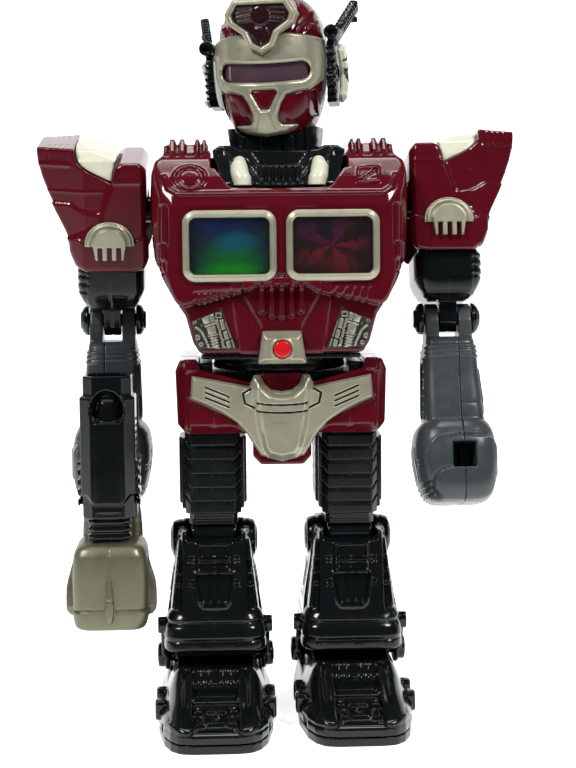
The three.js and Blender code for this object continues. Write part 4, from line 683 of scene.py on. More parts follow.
def pelvis():
    g = Grid((-48, 48), (-33, 35.4), (115.6, 163.6), 0.6)
    x, y, z, ax = g.x, g.y, g.z, np.abs(g.x)
    prof = sym([(0, 157), (11.5, 157), (14.2, 152.8), (35.8, 158.6), (37.2, 162.9), (45, 162.9), (47.2, 158), (46.4, 134), (42, 129.6), (0, 129.6)])
    side = poly(y, z, [(-31.8, 165), (-32.2, 134), (-28.6, 129), (31, 129), (35, 134), (35, 165)], 1.2)
    plan = sym([(0, -32.1), (41.4, -32.1), (47.8, -26.2), (48, 29), (42, 35), (0, 35)])
    V = smax(smax(poly(x, z, prof, 1.4) + 0 * y, side + 0 * x, 1.1), poly(x, y, plan, 1.0) + 0 * z, 1.0)
    tab = np.maximum(poly(x, z, sym([(0, 136), (13, 136), (13, 119.8), (9.4, 116.0), (0, 116.0)]), 1.4) + 0 * y, slab(y, -31.9, -24))
    V = smin(V, tab, 1.0)
    # hollow from above between the corners, and openings for the legs
    V = np.maximum(V, -np.maximum(rbox(x, y, 0, 0.5, 34.6, 29.6, 3), 150.5 - z))
    V = np.maximum(V, -np.maximum(np.maximum(np.abs(ax - 29.5) - 14.9, slab(y, -27.4, 30.4)), z - 154))
    V = np.maximum(V, -np.maximum(np.maximum(ax - 13.4, slab(y, -22, 24)), slab(z, 134, 150.6)))
    R = 0.0
    # corner panels and the chevron lines under the plate
    R = R - relief(seg(ax, z, (42.0, 130), (41.8, 157)) - 0.35, 0.5, 0.3)
    R = R - relief(path(ax, z, [(41.5, 145.6), (33, 141.6), (21, 136), (16, 131)]) - 0.4, 0.6, 0.35)
    R = R + relief(poly(ax, z, [(41.2, 144), (33.6, 140.6), (31.6, 133.6), (41, 133.6)], 0.8), 0.45, 0.4)
    R = R + relief(poly(ax, z, [(31.2, 139.4), (21.8, 135.2), (19.2, 132.6), (29.4, 132.6)], 0.6), 0.4, 0.4)
    R = R + relief(np.abs(ax - 40.4) - 2.6 + 0 * z, 0.5, 0.4) * (z > 158.2)
    R = R - relief(np.abs(rbox(x, z, 0, 152.6, 8.6, 5.4, 1)) - 0.25, 0.3, 0.25)
    V = V - R * front(g, -24, 4)
    # rim step along the lower edge on the sides, and lines on the sides
    V = V + relief(np.abs(z - 133.2) - 0.35 + 0 * x, 0.4, 0.3) * (ax > 45.5)
    V = V + relief(np.abs(np.abs(y - 2) - 20) - 0.4 + 0 * z, 0.5, 0.3) * (ax > 46)
    gap = 0.13
    sculpt("pelvis_front", g, np.maximum(V, y + 5 + gap), ROOT, "pelvis", RED, ["pelvis_front"], 40000)
    sculpt("pelvis_back", g, np.maximum(V, gap - 5 - y), ROOT, "pelvis", RED, ["pelvis_back"], 17000)

def belt():
    g = Grid((-41, 41), (-38.6, -32.2), (117.4, 157), 0.3)
    x, y, z, ax = g.x, g.y, g.z, np.abs(g.x)
    wing = sym([(0, 148.9), (4.6, 149.6), (7.6, 152.2), (9.2, 156.2), (12.4, 156.2), (14.2, 151.2), (39.8, 156.2), (40.6, 146), (34.6, 143.6), (27, 139.8), (20.4, 135.4), (15.8, 130.4), (12.6, 125.0), (9.7, 120.4), (0, 117.6)])
    W = poly(x, z, wing, 0.5)
    # wings: flat with a bevelled rim, bending back a little towards the tips
    top = -35.35 + 1.3 * ss((W + 1.1) / 1.1) + np.maximum(ax - 22, 0) * 0.012
    V = smax(smax(W + 0 * y, top - y, 0.5), y + 32.35 + 0 * x, 0.3)
    body = sym([(0, 148.9), (4.4, 149.5), (7.4, 152.2), (9.0, 155.2), (12.2, 155.2), (14.0, 150.6), (13.4, 143), (11.6, 132), (9.4, 123.4), (6.6, 119.4), (0, 117.9)])
    B = poly(x, z, body, 0.6)
    bulge = 3.0 * ss(-B / 4.2) ** 0.8 + 0.25 * ss((z - 140) / 12)
    # raised rounded tongue low down, saddle line below the scoop
    ton = poly(x, z, sym([(0, 134.6), (5.2, 134.6), (7.6, 132.6), (8.1, 128), (6.6, 121.6), (0, 119.0)]), 1.6)
    bulge = bulge + relief(ton, 0.5, 1.3)
    scoop = (np.hypot(x / 9.4, (z - 157.6) / 9.2) - 1) * 9
    bulge = bulge - 1.5 * ss((2.2 - scoop) / 2.2) * (z > 140) + relief(np.abs(scoop - 3.2) - 0.4, 0.35, 0.9) * (z > 146)
    bulge = np.minimum(bulge, 3.15)
    V2 = smax(smax(B + 0 * y, -35.3 - bulge - y, 0.5), y + 34 + 0 * x, 0.3)
    V = smin(V, V2, 0.5)
    R = 0.0
    for k in range(3):
        R = R - relief(seg(ax, z, (33.8, 151.2 - k * 2.3), (23.4, 146.8 - k * 2.3)) - 0.36, 1.0, 0.12)
    R = R - relief(path(ax, z, [(13.9, 150.2), (17.3, 148.2), (16.3, 143.7), (12.2, 141.8)]) - 0.42, 1.0, 0.12)
    R = R - relief(np.abs(z - 143.1 - ax * ax * 0.0072) - 0.36, 1.0, 0.12) * (ax < 11.6) - relief(np.abs(z - 139.7 - ax * ax * 0.0064) - 0.36, 1.0, 0.12) * (ax < 11.6)
    V = V - R * (y < -34)
    V = np.maximum(V, -38.58 - y)
    sculpt("belt_plate", g, V, ROOT, "pelvis", CHAMP, ["belt_plate"], 52000)
    # ink filling the engraved lines
    inner = V + 0.55
    cut = np.minimum(np.minimum(seg(ax, z, (33.8, 151.2), (23.4, 146.8)), seg(ax, z, (33.8, 148.9), (23.4, 144.5))), seg(ax, z, (33.8, 146.6), (23.4, 142.2))) - 0.5
    cut = np.minimum(cut, path(ax, z, [(13.9, 150.2), (17.3, 148.2), (16.3, 143.7), (12.2, 141.8)]) - 0.56)
    cut = np.minimum(cut, np.maximum(np.abs(z - 143.1 - ax * ax * 0.0072) - 0.5, ax - 11.8))
    cut = np.minimum(cut, np.maximum(np.abs(z - 139.7 - ax * ax * 0.0064) - 0.5, ax - 11.8))
    base = smin(smax(smax(W + 0 * y, top - y, 0.5), y + 32.35 + 0 * x, 0.3), V2, 0.5)
    ink = np.maximum(np.maximum(cut + 0 * y, base + 0.34), -(base + 1.5))
    sculpt("belt_ink", g, ink, ROOT, "pelvis", INK, (), 14000)


# ------------------------------------------------------------------ head
SKULL = [(262, 14.5, -21.5, 15), (266, 17.6, -23.4, 19), (272, 20.6, -25.4, 22.5), (280, 22.8, -26.6, 25), (290, 23.8, -27.2, 26.6), (300, 24, -27, 27),
         (308, 23.4, -26, 26.6), (315, 21.4, -23, 24.6), (320.6, 17.6, -18.4, 20.6), (324.8, 12, -12, 14.6), (327.3, 6.4, -6, 8)]
def skull(g, d=0.0):
    return loft(g, SKULL, 2.5, d, k=2.6)

def helmet():
    g = Grid((-24.4, 24.4), (-27.6, 27.4), (261.6, 327.4), 0.5)
    x, y, z, ax = g.x, g.y, g.z, np.abs(g.x)
    V = skull(g)
    up = np.clip((z - 304) / 3, 0, 1)
    # middle band over the crown, ridges and swept ribs beside it
    R = relief(ax - 4.6 + 0 * z, 0.7, 0.5) * np.clip((z - 306) / 4, 0, 1)
    d = 0
    arc = np.hypot((ax - 9.6) / 1.0, (z - 316.6) / 1.35)
    fr = np.clip((-2 - y) / 6, 0, 1)
    d = relief(np.abs(arc - 4.6) - 0.5, 0.75, 0.45) + relief(arc - 2.6, 0.75, 0.5)
    d = d + relief(seg(ax, z, (13.2, 305), (20.8, 318.5)) - 0.75, 0.9, 0.5) + relief(seg(ax, z, (17.4, 305), (24.0, 316)) - 0.45, 0.6, 0.4)
    d = d + relief(rbox(ax, z, 20.2, 309, 1.8, 1.6, 0.8), 0.5, 0.4)
    R = R + d * fr * up
    # back: stepped panel, two slots and a lower rim
    bk = np.clip((y - 6) / 5, 0, 1)
    b = relief(rbox(x, z, 0, 296, 12, 15, 5), 0.7, 0.5) - relief(np.abs(rbox(x, z, 0, 296, 9, 11.5, 4)) - 0.4, 0.6, 0.4)
    for k in range(4):
        b = b - relief(seg(x, z, (-5.5, 289 + k * 4.6), (5.5, 289 + k * 4.6)) - 0.7, 0.9, 0.4)
    b = b + relief(np.abs(z - 266.8) - 1.4 + 0 * x, 0.6, 0.4) + relief(path(ax, z, [(17, 272), (19.5, 284), (18.6, 300), (13, 313)]) - 0.7, 0.7, 0.5)
    R = R + b * bk
    V = V - R
    V = np.maximum(V, -np.maximum(skull(g, -2.6), -(z - 200)))
    V = np.maximum(V, 262.1 - z)
    # mask seat: the front below the brow belongs to the face
    face = np.maximum(np.maximum(y + 2, z - 294.6), 0 * x - 1)
    sculpt("helmet_front", g, np.maximum(np.maximum(V, y - 1.87), -face), HEAD, "head", RED, ["helmet_front"], 34000)
    sculpt("helmet_back", g, np.maximum(V, 2.13 - y), HEAD, "head", RED, ["helmet_back"], 30000)

def face():
    g = Grid((-24.6, 24.6), (-28, -1.8), (261.4, 295), 0.42)
    x, y, z, ax = g.x, g.y, g.z, np.abs(g.x)
    S = skull(g)
    # full cheeks: rounded pads, with a long oval slot near the ear and a jaw step
    R = relief(poly(ax, z, [(7.6, 278.4), (13.5, 280.2), (18.6, 283), (19, 274), (15.8, 267.6), (10.8, 267.4), (7.4, 270.6)], 1.8), 0.6, 1.6)
    R = R + relief(np.abs(seg(ax, z, (19.6, 271.5), (20.6, 280.5)) - 1.35) - 0.4, 0.5, 0.35) - relief(seg(ax, z, (19.6, 271.5), (20.6, 280.5)) - 0.7, 0.6, 0.4)
    R = R - relief(path(ax, z, [(22.6, 286), (17.6, 281.4), (11.8, 279.8)]) - 0.3, 0.3, 0.3)
    R = R + relief(poly(x, z, [(-6.2, 281.2), (6.2, 281.2), (1.6, 272.8), (-1.6, 272.8)], 0.8), 0.9, 0.9)
    V = S - R
    V = np.maximum(V, -(skull(g, -2.3)))
    V = np.maximum(V, np.maximum(y + 2.3, z - 294.3))
    V = np.maximum(V, 262.4 - z)
    V = np.maximum(V, -np.maximum(rbox(x, z - 1.5 * (x / 20.0) ** 2, 0, 288.7, 20.6, 4.7, 3.9), y + 12))
    sculpt("face_plate", g, V, HEAD, "head", RED, ["face_plate"], 30000)
    # smoky visor
    g = Grid((-20.4, 20.4), (-27.6, -12), (284, 295.4), 0.34)
    x, y, z = g.x, g.y, g.z
    S = skull(g)
    arch = 1.5 * (x / 20.0) ** 2
    V = smax(smax(S + 0.25, -(S + 1.7), 0.2), rbox(x, z - arch, 0, 288.7, 19.9, 4.2, 3.6), 0.3)
    V = np.maximum(V, y + 12.4)
    sculpt("visor_lens", g, V, HEAD, "head", SMOKE, ["visor_lens"], 12000)

def mask():
    g = Grid((-27, 27), (-30.4, -5.5), (260.6, 307.2), 0.38)
    x, y, z, ax = g.x, g.y, g.z, np.abs(g.x)
    S = skull(g)
    half = [(0, 306.3), (12, 306.1), (20, 305.2), (24.8, 304.2), (25.6, 296), (24.6, 287.4), (22.4, 284.2), (19.2, 281.3), (13.6, 280.2), (9.6, 279.0), (7.3, 275.4), (5.7, 270.6), (5.9, 268.0), (7.2, 266.6), (14.6, 266.6), (12.4, 264.4), (8.8, 262.5), (0, 261.3)]
    O = poly(x, z, sym(half), 0.5)
    slot = rbox(x, z - 1.5 * (x / 20.0) ** 2, 0, 288.7, 19.7, 4.0, 3.6)
    nose = poly(x, z, [(-6.3, 281.3), (6.3, 281.3), (1.9, 273.0), (-1.9, 273.0)], 1.0)
    jaw = poly(y, z, [(-60, 255), (-60, 312), (-6, 312), (-6, 296), (-9, 286), (-14, 276), (-15, 255)])
    T = 2.05 + 0 * x
    # brow band rises to a lip, bridge swells between the openings, chin has a flat middle facet
    T = T + relief(np.abs(z - 305.4 + 0.0018 * x * x) - 0.4, 0.25, 0.4)
    T = T - 0.75 * ss((1.6 - slot) / 1.8) - 0.75 * ss((1.3 - nose) / 1.5)
    T = T - 0.9 * ss((1.3 + O) / 1.5)
    chin = poly(x, z, sym([(0, 272), (1.8, 272), (5.2, 262.0), (0, 261.0)]))
    T = T + 0.35 * ss((-chin) / 0.4) * (z < 272) + 0.25 * ss((ax - 9.0) / 3.5) * (z < 268)
    T = T - relief(path(x, z, [(-3.6, 298.6), (0, 296.4), (3.6, 298.6)]) - 0.3, 0.35, 0.35)
    V = smax(smax(S - T, -(S - 0.35), 0.25), O + 0 * y, 0.5)
    V = smax(V, -slot + 0 * y, 0.35); V = smax(V, -nose + 0 * y, 0.35)
    V = smax(V, jaw + 0 * x, 0.4)
    V = np.maximum(V, S - 2.38)
    sculpt("face_mask", g, V, HEAD, "head", CHAMP, ["face_mask"], 44000)

def crest():
    g = Grid((-16.2, 16.2), (-33.5, -11), (296, 320.6), 0.36)
    x, y, z, ax = g.x, g.y, g.z, np.abs(g.x)
    out = sym([(0, 296.6), (5.4, 299.4), (8.0, 305), (14.6, 309.8), (15.9, 314.2), (12.2, 320.4), (0, 320.39)])
    inn = sym([(0, 299.5), (3.7, 301.6), (5.6, 306.4), (12.0, 311.0), (12.9, 313.9), (10.3, 318.1), (0, 318.09)])
    O, I = poly(x, z, out, 0.5), poly(x, z, inn, 0.4)
    S = skull(g)
    front_ = -33.38 + 1.1 * ss((O + 1.0) / 1.0) + 0.7 * ss((0.8 - I) / 0.8)
    V = smax(smax(O + 0 * y, front_ - y, 0.4), -I + 0 * y, 0.3)
    V = np.maximum(V, -(S - 2.7))
    V = np.maximum(V, y + 12)
    V = V + relief(np.abs(y + 29.4) - 0.3 + 0 * x, 0.3, 0.25)
    sculpt("crest_frame", g, V, HEAD, "head", CHAMP, ["crest_frame"], 22000)
    g = Grid((-13.2, 13.2), (-32.5, -18), (299, 318.4), 0.27)
    x, y, z, ax = g.x, g.y, g.z, np.abs(g.x)
    I = poly(x, z, inn, 0.4) + 0.3
    S = skull(g)
    H = 0.0
    dome = np.hypot(x, z - 313.4)
    H = relief(dome - 4.3, 0.75, 0.4) + 0.45 * np.clip(1 - (dome / 4.3) ** 2, 0, 1)
    for k, (za, zb) in enumerate(((317.2, 316.9), (315.4, 314.6), (313.5, 312.5), (311.6, 310.8))):
        H = np.maximum(H, relief(seg(ax, z, (4.0, za), (10.9 - k * 0.3, zb + 0.1)) - 0.52, 0.62, 0.35))
    H = np.maximum(H, relief(poly(ax, z, [(0, 308.6), (2.6, 308.0), (3.6, 305), (1.6, 301.2), (0, 300.4)], 0.4), 0.55, 0.4) - relief(seg(ax, z, (0, 307), (0.0, 301.4)) - 0.3, 0.4, 0.3))
    V = smax(I + 0 * y, -31.0 - H - y, 0.3)
    V = np.maximum(np.maximum(V, -(S - 2.7)), y + 18)
    sculpt("crest_panel", g, V, HEAD, "head", MAROON, ["crest_panel"], 22000)

def ears():
    for side, drop in (("right", 5.0), ("left", 0.0)):
        one_ear(side, drop)

def one_ear(side, drop):
    """side pod with its barrel and toothed bar; the right one is set lower"""
    k_ = (306 - drop - 275) / 35.0
    def fit(v):
        return 275 + (v - 271) * k_
    g = Grid((22, 37.4), (-15, 20), (273.5 - drop * 0, 324.6 - drop), 0.38)
    x, y, zr = g.x, g.y, g.z
    z = 271 + (zr - 275) / k_
    prof = [(-12, 300), (-9, 305.4), (4, 306), (11, 300), (14.6, 290), (12, 279), (4, 271), (-6, 273), (-11, 282)]
    S = skull(g)
    P = poly(y, z, prof, 1.4)
    V = smax(P + 0 * x, slab(x, 21.9, 29.3), 0.9)
    R = relief(poly(y, z, [(-8.6, 299.4), (3, 303), (9, 298.4), (12.4, 289.6), (10.4, 280), (3.6, 273.6), (-4, 275.6), (-8.4, 283)], 1), -0.5, 0.35)
    for k in range(6):
        R = R + relief(rbox(y, z, -9.9, 277.5 + k * 3.9, 1.5, 1.15, 0.3), 0.7, 0.3)
    R = R + relief(np.hypot(y - 2, z - 288) - 4.2, 0.5, 0.35) - relief(np.hypot(y - 2, z - 288) - 2.2, 0.6, 0.35)
    V = V - R * np.clip((x - 27) / 1.4, 0, 1)
    # steps on the front edge of the pod
    for k in range(7):
        V = V + relief(np.abs(z - (275.6 + k * 3.7)) - 0.42 + 0 * y, 0.75, 0.3) * np.clip((-7.5 - y) / 1.5, 0, 1)
    V = np.maximum(V, -(S - 2.7))
    z = zr + drop
    muz = np.maximum(np.hypot(x - 28.4, z - 307.0) - 3.25, slab(y, -14.4, 1))
    muz = smin(muz, np.maximum(np.hypot(x - 28.4, z - 307.0) - 2.6, slab(y, -14.4, 3)), 0.3)
    V = smin(V, muz, 0.5)
    V = V + 0 * x
    for yy in (-12.6, -9.4, -6.2):
        V = V + relief(np.abs(y - yy) - 0.4 + 0 * x, 0.45, 0.25) * (np.hypot(x - 28.4, z - 307.0) < 4.2) * (z > 303)
    V = np.maximum(V, -np.maximum(np.hypot(x - 28.4, z - 307.0) - 1.7, y + 11.5))
    # toothed bar rising to the rear
    a, b = (28.4, -6, 304.6), (34.8, 16.4, 320.9)
    d = np.array([b[i] - a[i] for i in range(3)]); L = np.linalg.norm(d); u = d / L
    t = (x - a[0]) * u[0] + (y - a[1]) * u[1] + (z - a[2]) * u[2]
    n = np.cross(u, (1, 0, 0)); n /= np.linalg.norm(n); m = np.cross(u, n)
    pn = (x - a[0]) * n[0] + (y - a[1]) * n[1] + (z - a[2]) * n[2]
    pm = (x - a[0]) * m[0] + (y - a[1]) * m[1] + (z - a[2]) * m[2]
    if n[2] < 0: pn = -pn
    bar = smax(rbox(pm, pn, 0, 0, 2.05, 2.9, 1.0), slab(t, -2, L + 1.6), 0.8)
    teeth = 0.75 * ss(0.5 + 1.4 * np.cos((t - 3) * 2 * np.pi / 2.6)) * ((t > 8) & (t < L - 1)) * np.clip((pn - 1.0) / 0.8, 0, 1)
    bar = bar + teeth
    bar = bar + relief(np.abs(rbox(t, pn, L * 0.55, -0.6, 7, 0.9, 0.5)) - 0.2, 0.35, 0.25) * (np.abs(pm) > 1.2)
    rod = np.maximum(np.hypot(y - 16.0, z - 315.2) - 1.35, slab(x, 32.0, 36.6))
    V = smin(V, np.minimum(bar, smin(rod, bar, 0.5)), 0.4)
    V = np.maximum(V, 36.9 - 0 - 0 * x - 36.9 + (x - 37.0))
    sculpt("ear_pod", g, V, {side: HEAD}, lambda s: "head", BLACK, ["*_ear_pod"], 36000, (side,))
    g = Grid((29.7, 33.1), (-9, 13), (275.6, 304.0 - drop), 0.22)
    x, y, z = g.x, g.y, 271 + (g.z - 275) / k_
    P = poly(y, z, [(-8.2, 298.8), (2, 302.8), (9, 296.8), (12.2, 288.4), (9.6, 279.2), (2, 272.8), (-3.8, 276.6), (2.4, 281), (3.8, 287.4), (-1.8, 293.2)], 0.6)
    T = 32.9 - 1.6 * ss((P + 2.2) / 2.2)
    V = smax(smax(P + 0 * x, x - T, 0.4), 29.9 - x, 0.2)
    g1 = path(y, z, [(8.6, 297), (6.4, 289), (1.6, 290.4)])
    V = V + relief(g1 - 0.35, 0.9, 0.3) * (x > 30.6) + relief(path(y, z, [(9.6, 282.5), (5.2, 285.2)]) - 0.3, 0.7, 0.3) * (x > 30.6)
    base = V
    sculpt("ear_blade", g, V, {side: HEAD}, lambda s: "head", CREAM, ["*_ear_blade"], 14000, (side,))
    # black flame markings lying on the blade
    mark = np.minimum(path(y, z, [(10.6, 296), (8.2, 291), (3.4, 289.2), (7.4, 285.4)]) - 0.9, path(y, z, [(5.8, 299.5), (4.2, 295.4), (-1.2, 294)]) - 0.8)
    mark = np.minimum(mark, path(y, z, [(10.8, 283.4), (5.0, 286.0)]) - 0.7)
    ink = np.maximum(np.maximum(smax(P + 0.25 + 0 * x, x - T - 0.09, 0.1), mark + 0 * x), T - 0.35 - x)
    sculpt("ear_mark", g, ink, {side: HEAD}, lambda s: "head", INK, (), 6000, (side,))

def neck():
    g = Grid((-21.2, 21.2), (-17.2, 17.4), (244, 268), 0.5)
    x, y, z, ax = g.x, g.y, g.z, np.abs(g.x)
    V = loft(g, [(251.2, 18.4, -16, 16), (256, 19.4, -16.6, 16.6), (261, 20.4, -16.8, 17), (266, 21, -16.9, 17)], 4.5, k=0.6)
    V = np.maximum(V, -(skull(g) - 0.35))
    V = np.minimum(V, np.maximum(np.hypot(x, y) - 8.1, slab(z, 244.1, 253)))
    R = 0
    for c in (5.2, 11.0, 15.4):
        R = R - relief(np.abs(ax - c) - 0.45 + 0 * z, 0.8, 0.35) * (z > 252.4)
    R = R + relief(rbox(x, z, 0, 257, 4.2, 6, 0.8), 0.5, 0.3)
    V = V - R * (np.abs(y) > 9)
    V = V + relief(np.abs(z - 253.6) - 0.4 + 0 * x, 0.6, 0.3)
    sculpt("neck_block", g, V, HEAD, "head", BLACKSAT, ["neck_block"], 20000)

# ------------------------------------------------------------------ arms, in each arm's own frame, left side drawn
SZ = SHOULDER_Z
def pad():
    g = Grid((58, 108), (-24.2, 24.2), (SZ - 23.4, SZ + 32), 0.5)
    x, y, z, ay = g.x, g.y, g.z - SZ, np.abs(g.y)
    block = poly(x, z, [(58, -18), (61, -22.4), (66, -23.3), (86, -23.3), (90.6, -20.6), (93.4, -14), (93.4, -8), (80, -2), (78.8, 5), (72.4, 23.4), (69.4, 25), (61.5, 25), (58, 21.5)], 2.4)
    horn = poly(x, z, [(66, -20), (87, -21), (91.4, -17.5), (93.0, -11), (95.4, -5), (99.4, 3), (102.6, 10), (105.6, 18), (107.4, 25), (107.9, 29), (107.7, 32), (88, 32), (73, 15), (66, 14)], 1.0)
    planb = poly(x, y, [(58, -21), (61, -24), (87, -24), (94, -21), (94, 21), (87, 24), (61, 24), (58, 21)], 2.0)
    planh = poly(x, y, [(58, -23.2), (86, -23.2), (107.9, -15), (107.9, 15), (86, 23.2), (58, 23.2)], 1.5)
    B = smax(smax(block + 0 * y, planb + 0 * z, 2.6), 0 * x - 99.0 + 0 * z, 0.1)
    H = smax(horn + 0 * y, planh + 0 * z, 0.9)
    # the horn's skin is set a step in from the block, the lower body comes up to a drawn line
    low = poly(x, z, [(56, -30), (56, 15), (75.0, 15), (78.8, 3.4), (81.0, 2.4), (86.8, 3.4), (89.8, 5.0), (92.6, 6.9), (102.6, 7.0), (115, 7.0), (115, -30)], 0.0)
    H = H + 0.7 * ss((low + 0.35) / 0.7)
    V = smin(B, H, 0.5)
    bead = seg(x, z, (92.4, 23.8), (106, 23.8))
    V = V - relief(bead - 0.45, 0.5, 0.6) * (x > 91)
    V = V - relief(seg(x, z, (78.6, 12.2), (103.6, 12.2)) - 0.2, 0.32, 0.5) * (x > 78)
    V = V - relief(seg(x, z, (60.5, 16.6), (73.6, 16.6)) - 0.45, 0.6, 0.6) * (ay > 18)
    # belt round the bottom, lifting a little at both ends
    belt = z - (-10.6 + 2.4 * ss((np.abs(x - 75.5) - 8) / 8))
    V = V - relief(belt, 0.7, 0.3) * (ay > 12)
    # notches on the horn's top corner
    for c in (93.4, 96.0, 98.6, 101.2):
        V = V + relief(seg(x, z, (c, 33), (c + 0.8, 25.6)) - 0.25, 0.28, 0.5) * (ay > 8)
    # seat of the insert: curved edge down the front
    seat = poly(x, z, [(91.4, 33), (90.6, 27.4), (84.4, 21.0), (75.0, 17.0), (72.6, 17.2), (70.4, 12.4), (66, 12.4), (66, 40), (91.4, 40)], 0.3)
    notch = poly(x, z, [(73.6, 16.0), (76.2, 17.0), (80.7, 19.2), (84.3, 21.0), (87.0, 22.9), (89.1, 25.3), (90.1, 28.3), (90.1, 34), (69.0, 34), (72.9, 24.4), (73.2, 17)], 0.0) + 0 * y
    V = smax(V, -notch, 0.35)
    # outer face: a panel line; inside: hollow
    V = V + relief(np.abs(rbox(y, z, 0, -6, 13, 9, 3)) - 0.4, 0.6, 0.35) * (x > 88)
    hol = np.maximum(poly(x, z, [(55, -30), (90.4, -30), (90.4, -12), (86, 6), (68.8, 6), (68.8, 20), (61.2, 20), (61.2, 8), (55, 8)]) + 0 * y, np.maximum(ay - 21.4, x * 0 - 1))
    V = np.maximum(V, -hol)
    sculpt("shoulder_pad", g, V, ARM, lambda s: s + "_arm", RED, ["*_shoulder_pad"], 44000, BOTH)
    # cream insert
    g = Grid((70.6, 90.2), (-21.8, 21.8), (SZ + 15, SZ + 32.2), 0.4)
    x, y, z, ay = g.x, g.y, g.z - SZ, np.abs(g.y)
    P = poly(x, z, [(73.7, 16.3), (76.2, 17.3), (80.6, 19.5), (84.1, 21.3), (86.8, 23.2), (88.8, 25.5), (89.8, 28.4), (89.8, 31.2), (88.2, 32), (71.6, 26.0), (72.9, 24.0)], 0.3)
    G = poly(y, z, [(-21.4, 11.4), (-21.2, 20), (-19.6, 25.4), (-16.0, 29.4), (-9, 31.8), (0, 32.6), (9, 31.8), (16.0, 29.4), (19.6, 25.4), (21.2, 20), (21.4, 11.4)], 0.6)
    V = smax(P + 0 * y, G + 0 * x, 1.0)
    V = V + relief(np.abs(rbox(x, y, 80.5, 0, 6.6, 11.6, 2)) - 0.35, 0.4, 0.35) * (z > 25)
    sculpt("pad_insert", g, V, ARM, lambda s: s + "_arm", CREAM, ["*_pad_insert"], 14000, BOTH)
    # half-round badge: arcs stepping up to a toothed plate
    g = Grid((64.4, 86.6), (-27.7, -24.2), (SZ - 17.6, SZ + 2.1), 0.25)
    x, y, z = g.x - 75.5, g.y, g.z - SZ + 10.4
    r = np.hypot(x, z * np.where(z > 0, 1.12, 1.0))
    disc = np.maximum(r - 10.95, -1.9 - z)
    T = 1.25 + 0 * x + 0 * z
    T = T + relief(np.abs(r - 9.2) - 0.55, 0.55, 0.35) - relief(np.abs(r - 10.3) - 0.2, 0.3, 0.25)
    T = T + relief(r - 7.4, 1.55, 0.3)
    T = np.minimum(T, 3.2)
    arcs = smax(disc + 0 * y, (-24.35 - T) - y, 0.3)
    arcs = np.maximum(arcs, (-1.2 - z) + 0 * y)
    plate = smax(np.minimum(np.maximum(r - 7.3, -7.1 - z), 99) + 0 * y, -27.5 - y, 0.3)
    plate = smax(plate, -7.1 - z + 0 * y, 0.2)
    slots = np.minimum(np.abs(x), np.abs(np.abs(x) - 4.15)) - 1.12
    cut = np.maximum(slots, z + 1.4)
    cut = np.maximum(cut, -(z + 9.5))
    wide = np.maximum(np.abs(x) - 7.3 - 0.16 * z, slab(z, -7.1, 1.0)) + 0 * y
    plate = smin(plate, smax(wide, -27.5 - y, 0.3), 0.05)
    plate = np.maximum(plate, -(cut + 0 * y))
    V = np.minimum(arcs, plate)
    V = np.maximum(V, y + 24.35)
    V = np.maximum(V, -27.58 - y)
    sculpt("pad_badge", g, V, ARM, lambda s: s + "_arm", CHAMP, ["*_pad_badge"], 20000, BOTH)

def upper_arm():
    g = Grid((50.4, 92.2), (-19.2, 19.2), (SZ - 58.6, SZ + 9.4), 0.5)
    x, y, z, ay = g.x, g.y, g.z - SZ, np.abs(g.y)
    rows = [(-44.6, 8.8, -12, 12, 76.1), (-42.6, 11.2, -15, 15, 76.1), (-38.6, 13.8, -17.6, 17.6, 76.1), (-34, 15.3, -18.8, 18.8, 76.1), (-25, 15.3, -19, 19, 76.1), (-22.6, 13.6, -18.6, 18.6, 76.1), (-12, 11.8, -17.6, 17.6, 76.1), (2, 9.4, -16, 16, 76.1)]
    gz = type("G", (), {})(); gz.x, gz.y, gz.z = x, y, z
    V = loft(gz, rows, 5.5, k=1.4)
    # front plate stands proud, with a corner line and outer notches
    V = V - relief(rbox(x, z, 75.0, -33, 11.6, 9.4, 3) + 0 * y, 0.5, 0.5) * (y < -10)
    for k in (-26.6, -30.4, -34.2):
        V = V + relief(np.abs(z - k) - 0.4 + 0 * y, 0.8, 0.5) * np.clip((x - 85.4) / 1.2, 0, 1)
    V = V + relief(np.abs(x - 76.3) - 0.25 + 0 * z, 0.45, 0.25) * (z < -20) * (ay > 8)
    V = V - relief(np.abs(z + 42.2) - 0.5 + 0 * y, 0.4, 0.4)
    boss = np.hypot(y, z)
    V = np.minimum(V, smax(boss - 8.9, slab(x, 50.65, 57.3), 0.6))
    V = np.minimum(V, np.maximum(boss - 5.9, slab(x, 56, 67)))
    tong = smax(poly(y, z, [(-7, -43), (-7.2, -54), (-4, -58.4), (4, -58.4), (7.2, -54), (7, -43)], 1.5) + 0 * x, slab(x, 72.5, 80.5), 0.5)
    tong = np.maximum(tong, z + 40)
    V = smin(V, tong, 0.6)
    V = V + relief(np.abs(x - 76.5) - 0.3 + 0 * z, 0.4, 0.25) * (z < -46)
    sculpt("upper_arm", g, V, ARM, lambda s: s + "_arm", BLACK, ["*_upper_arm"], 36000, BOTH)

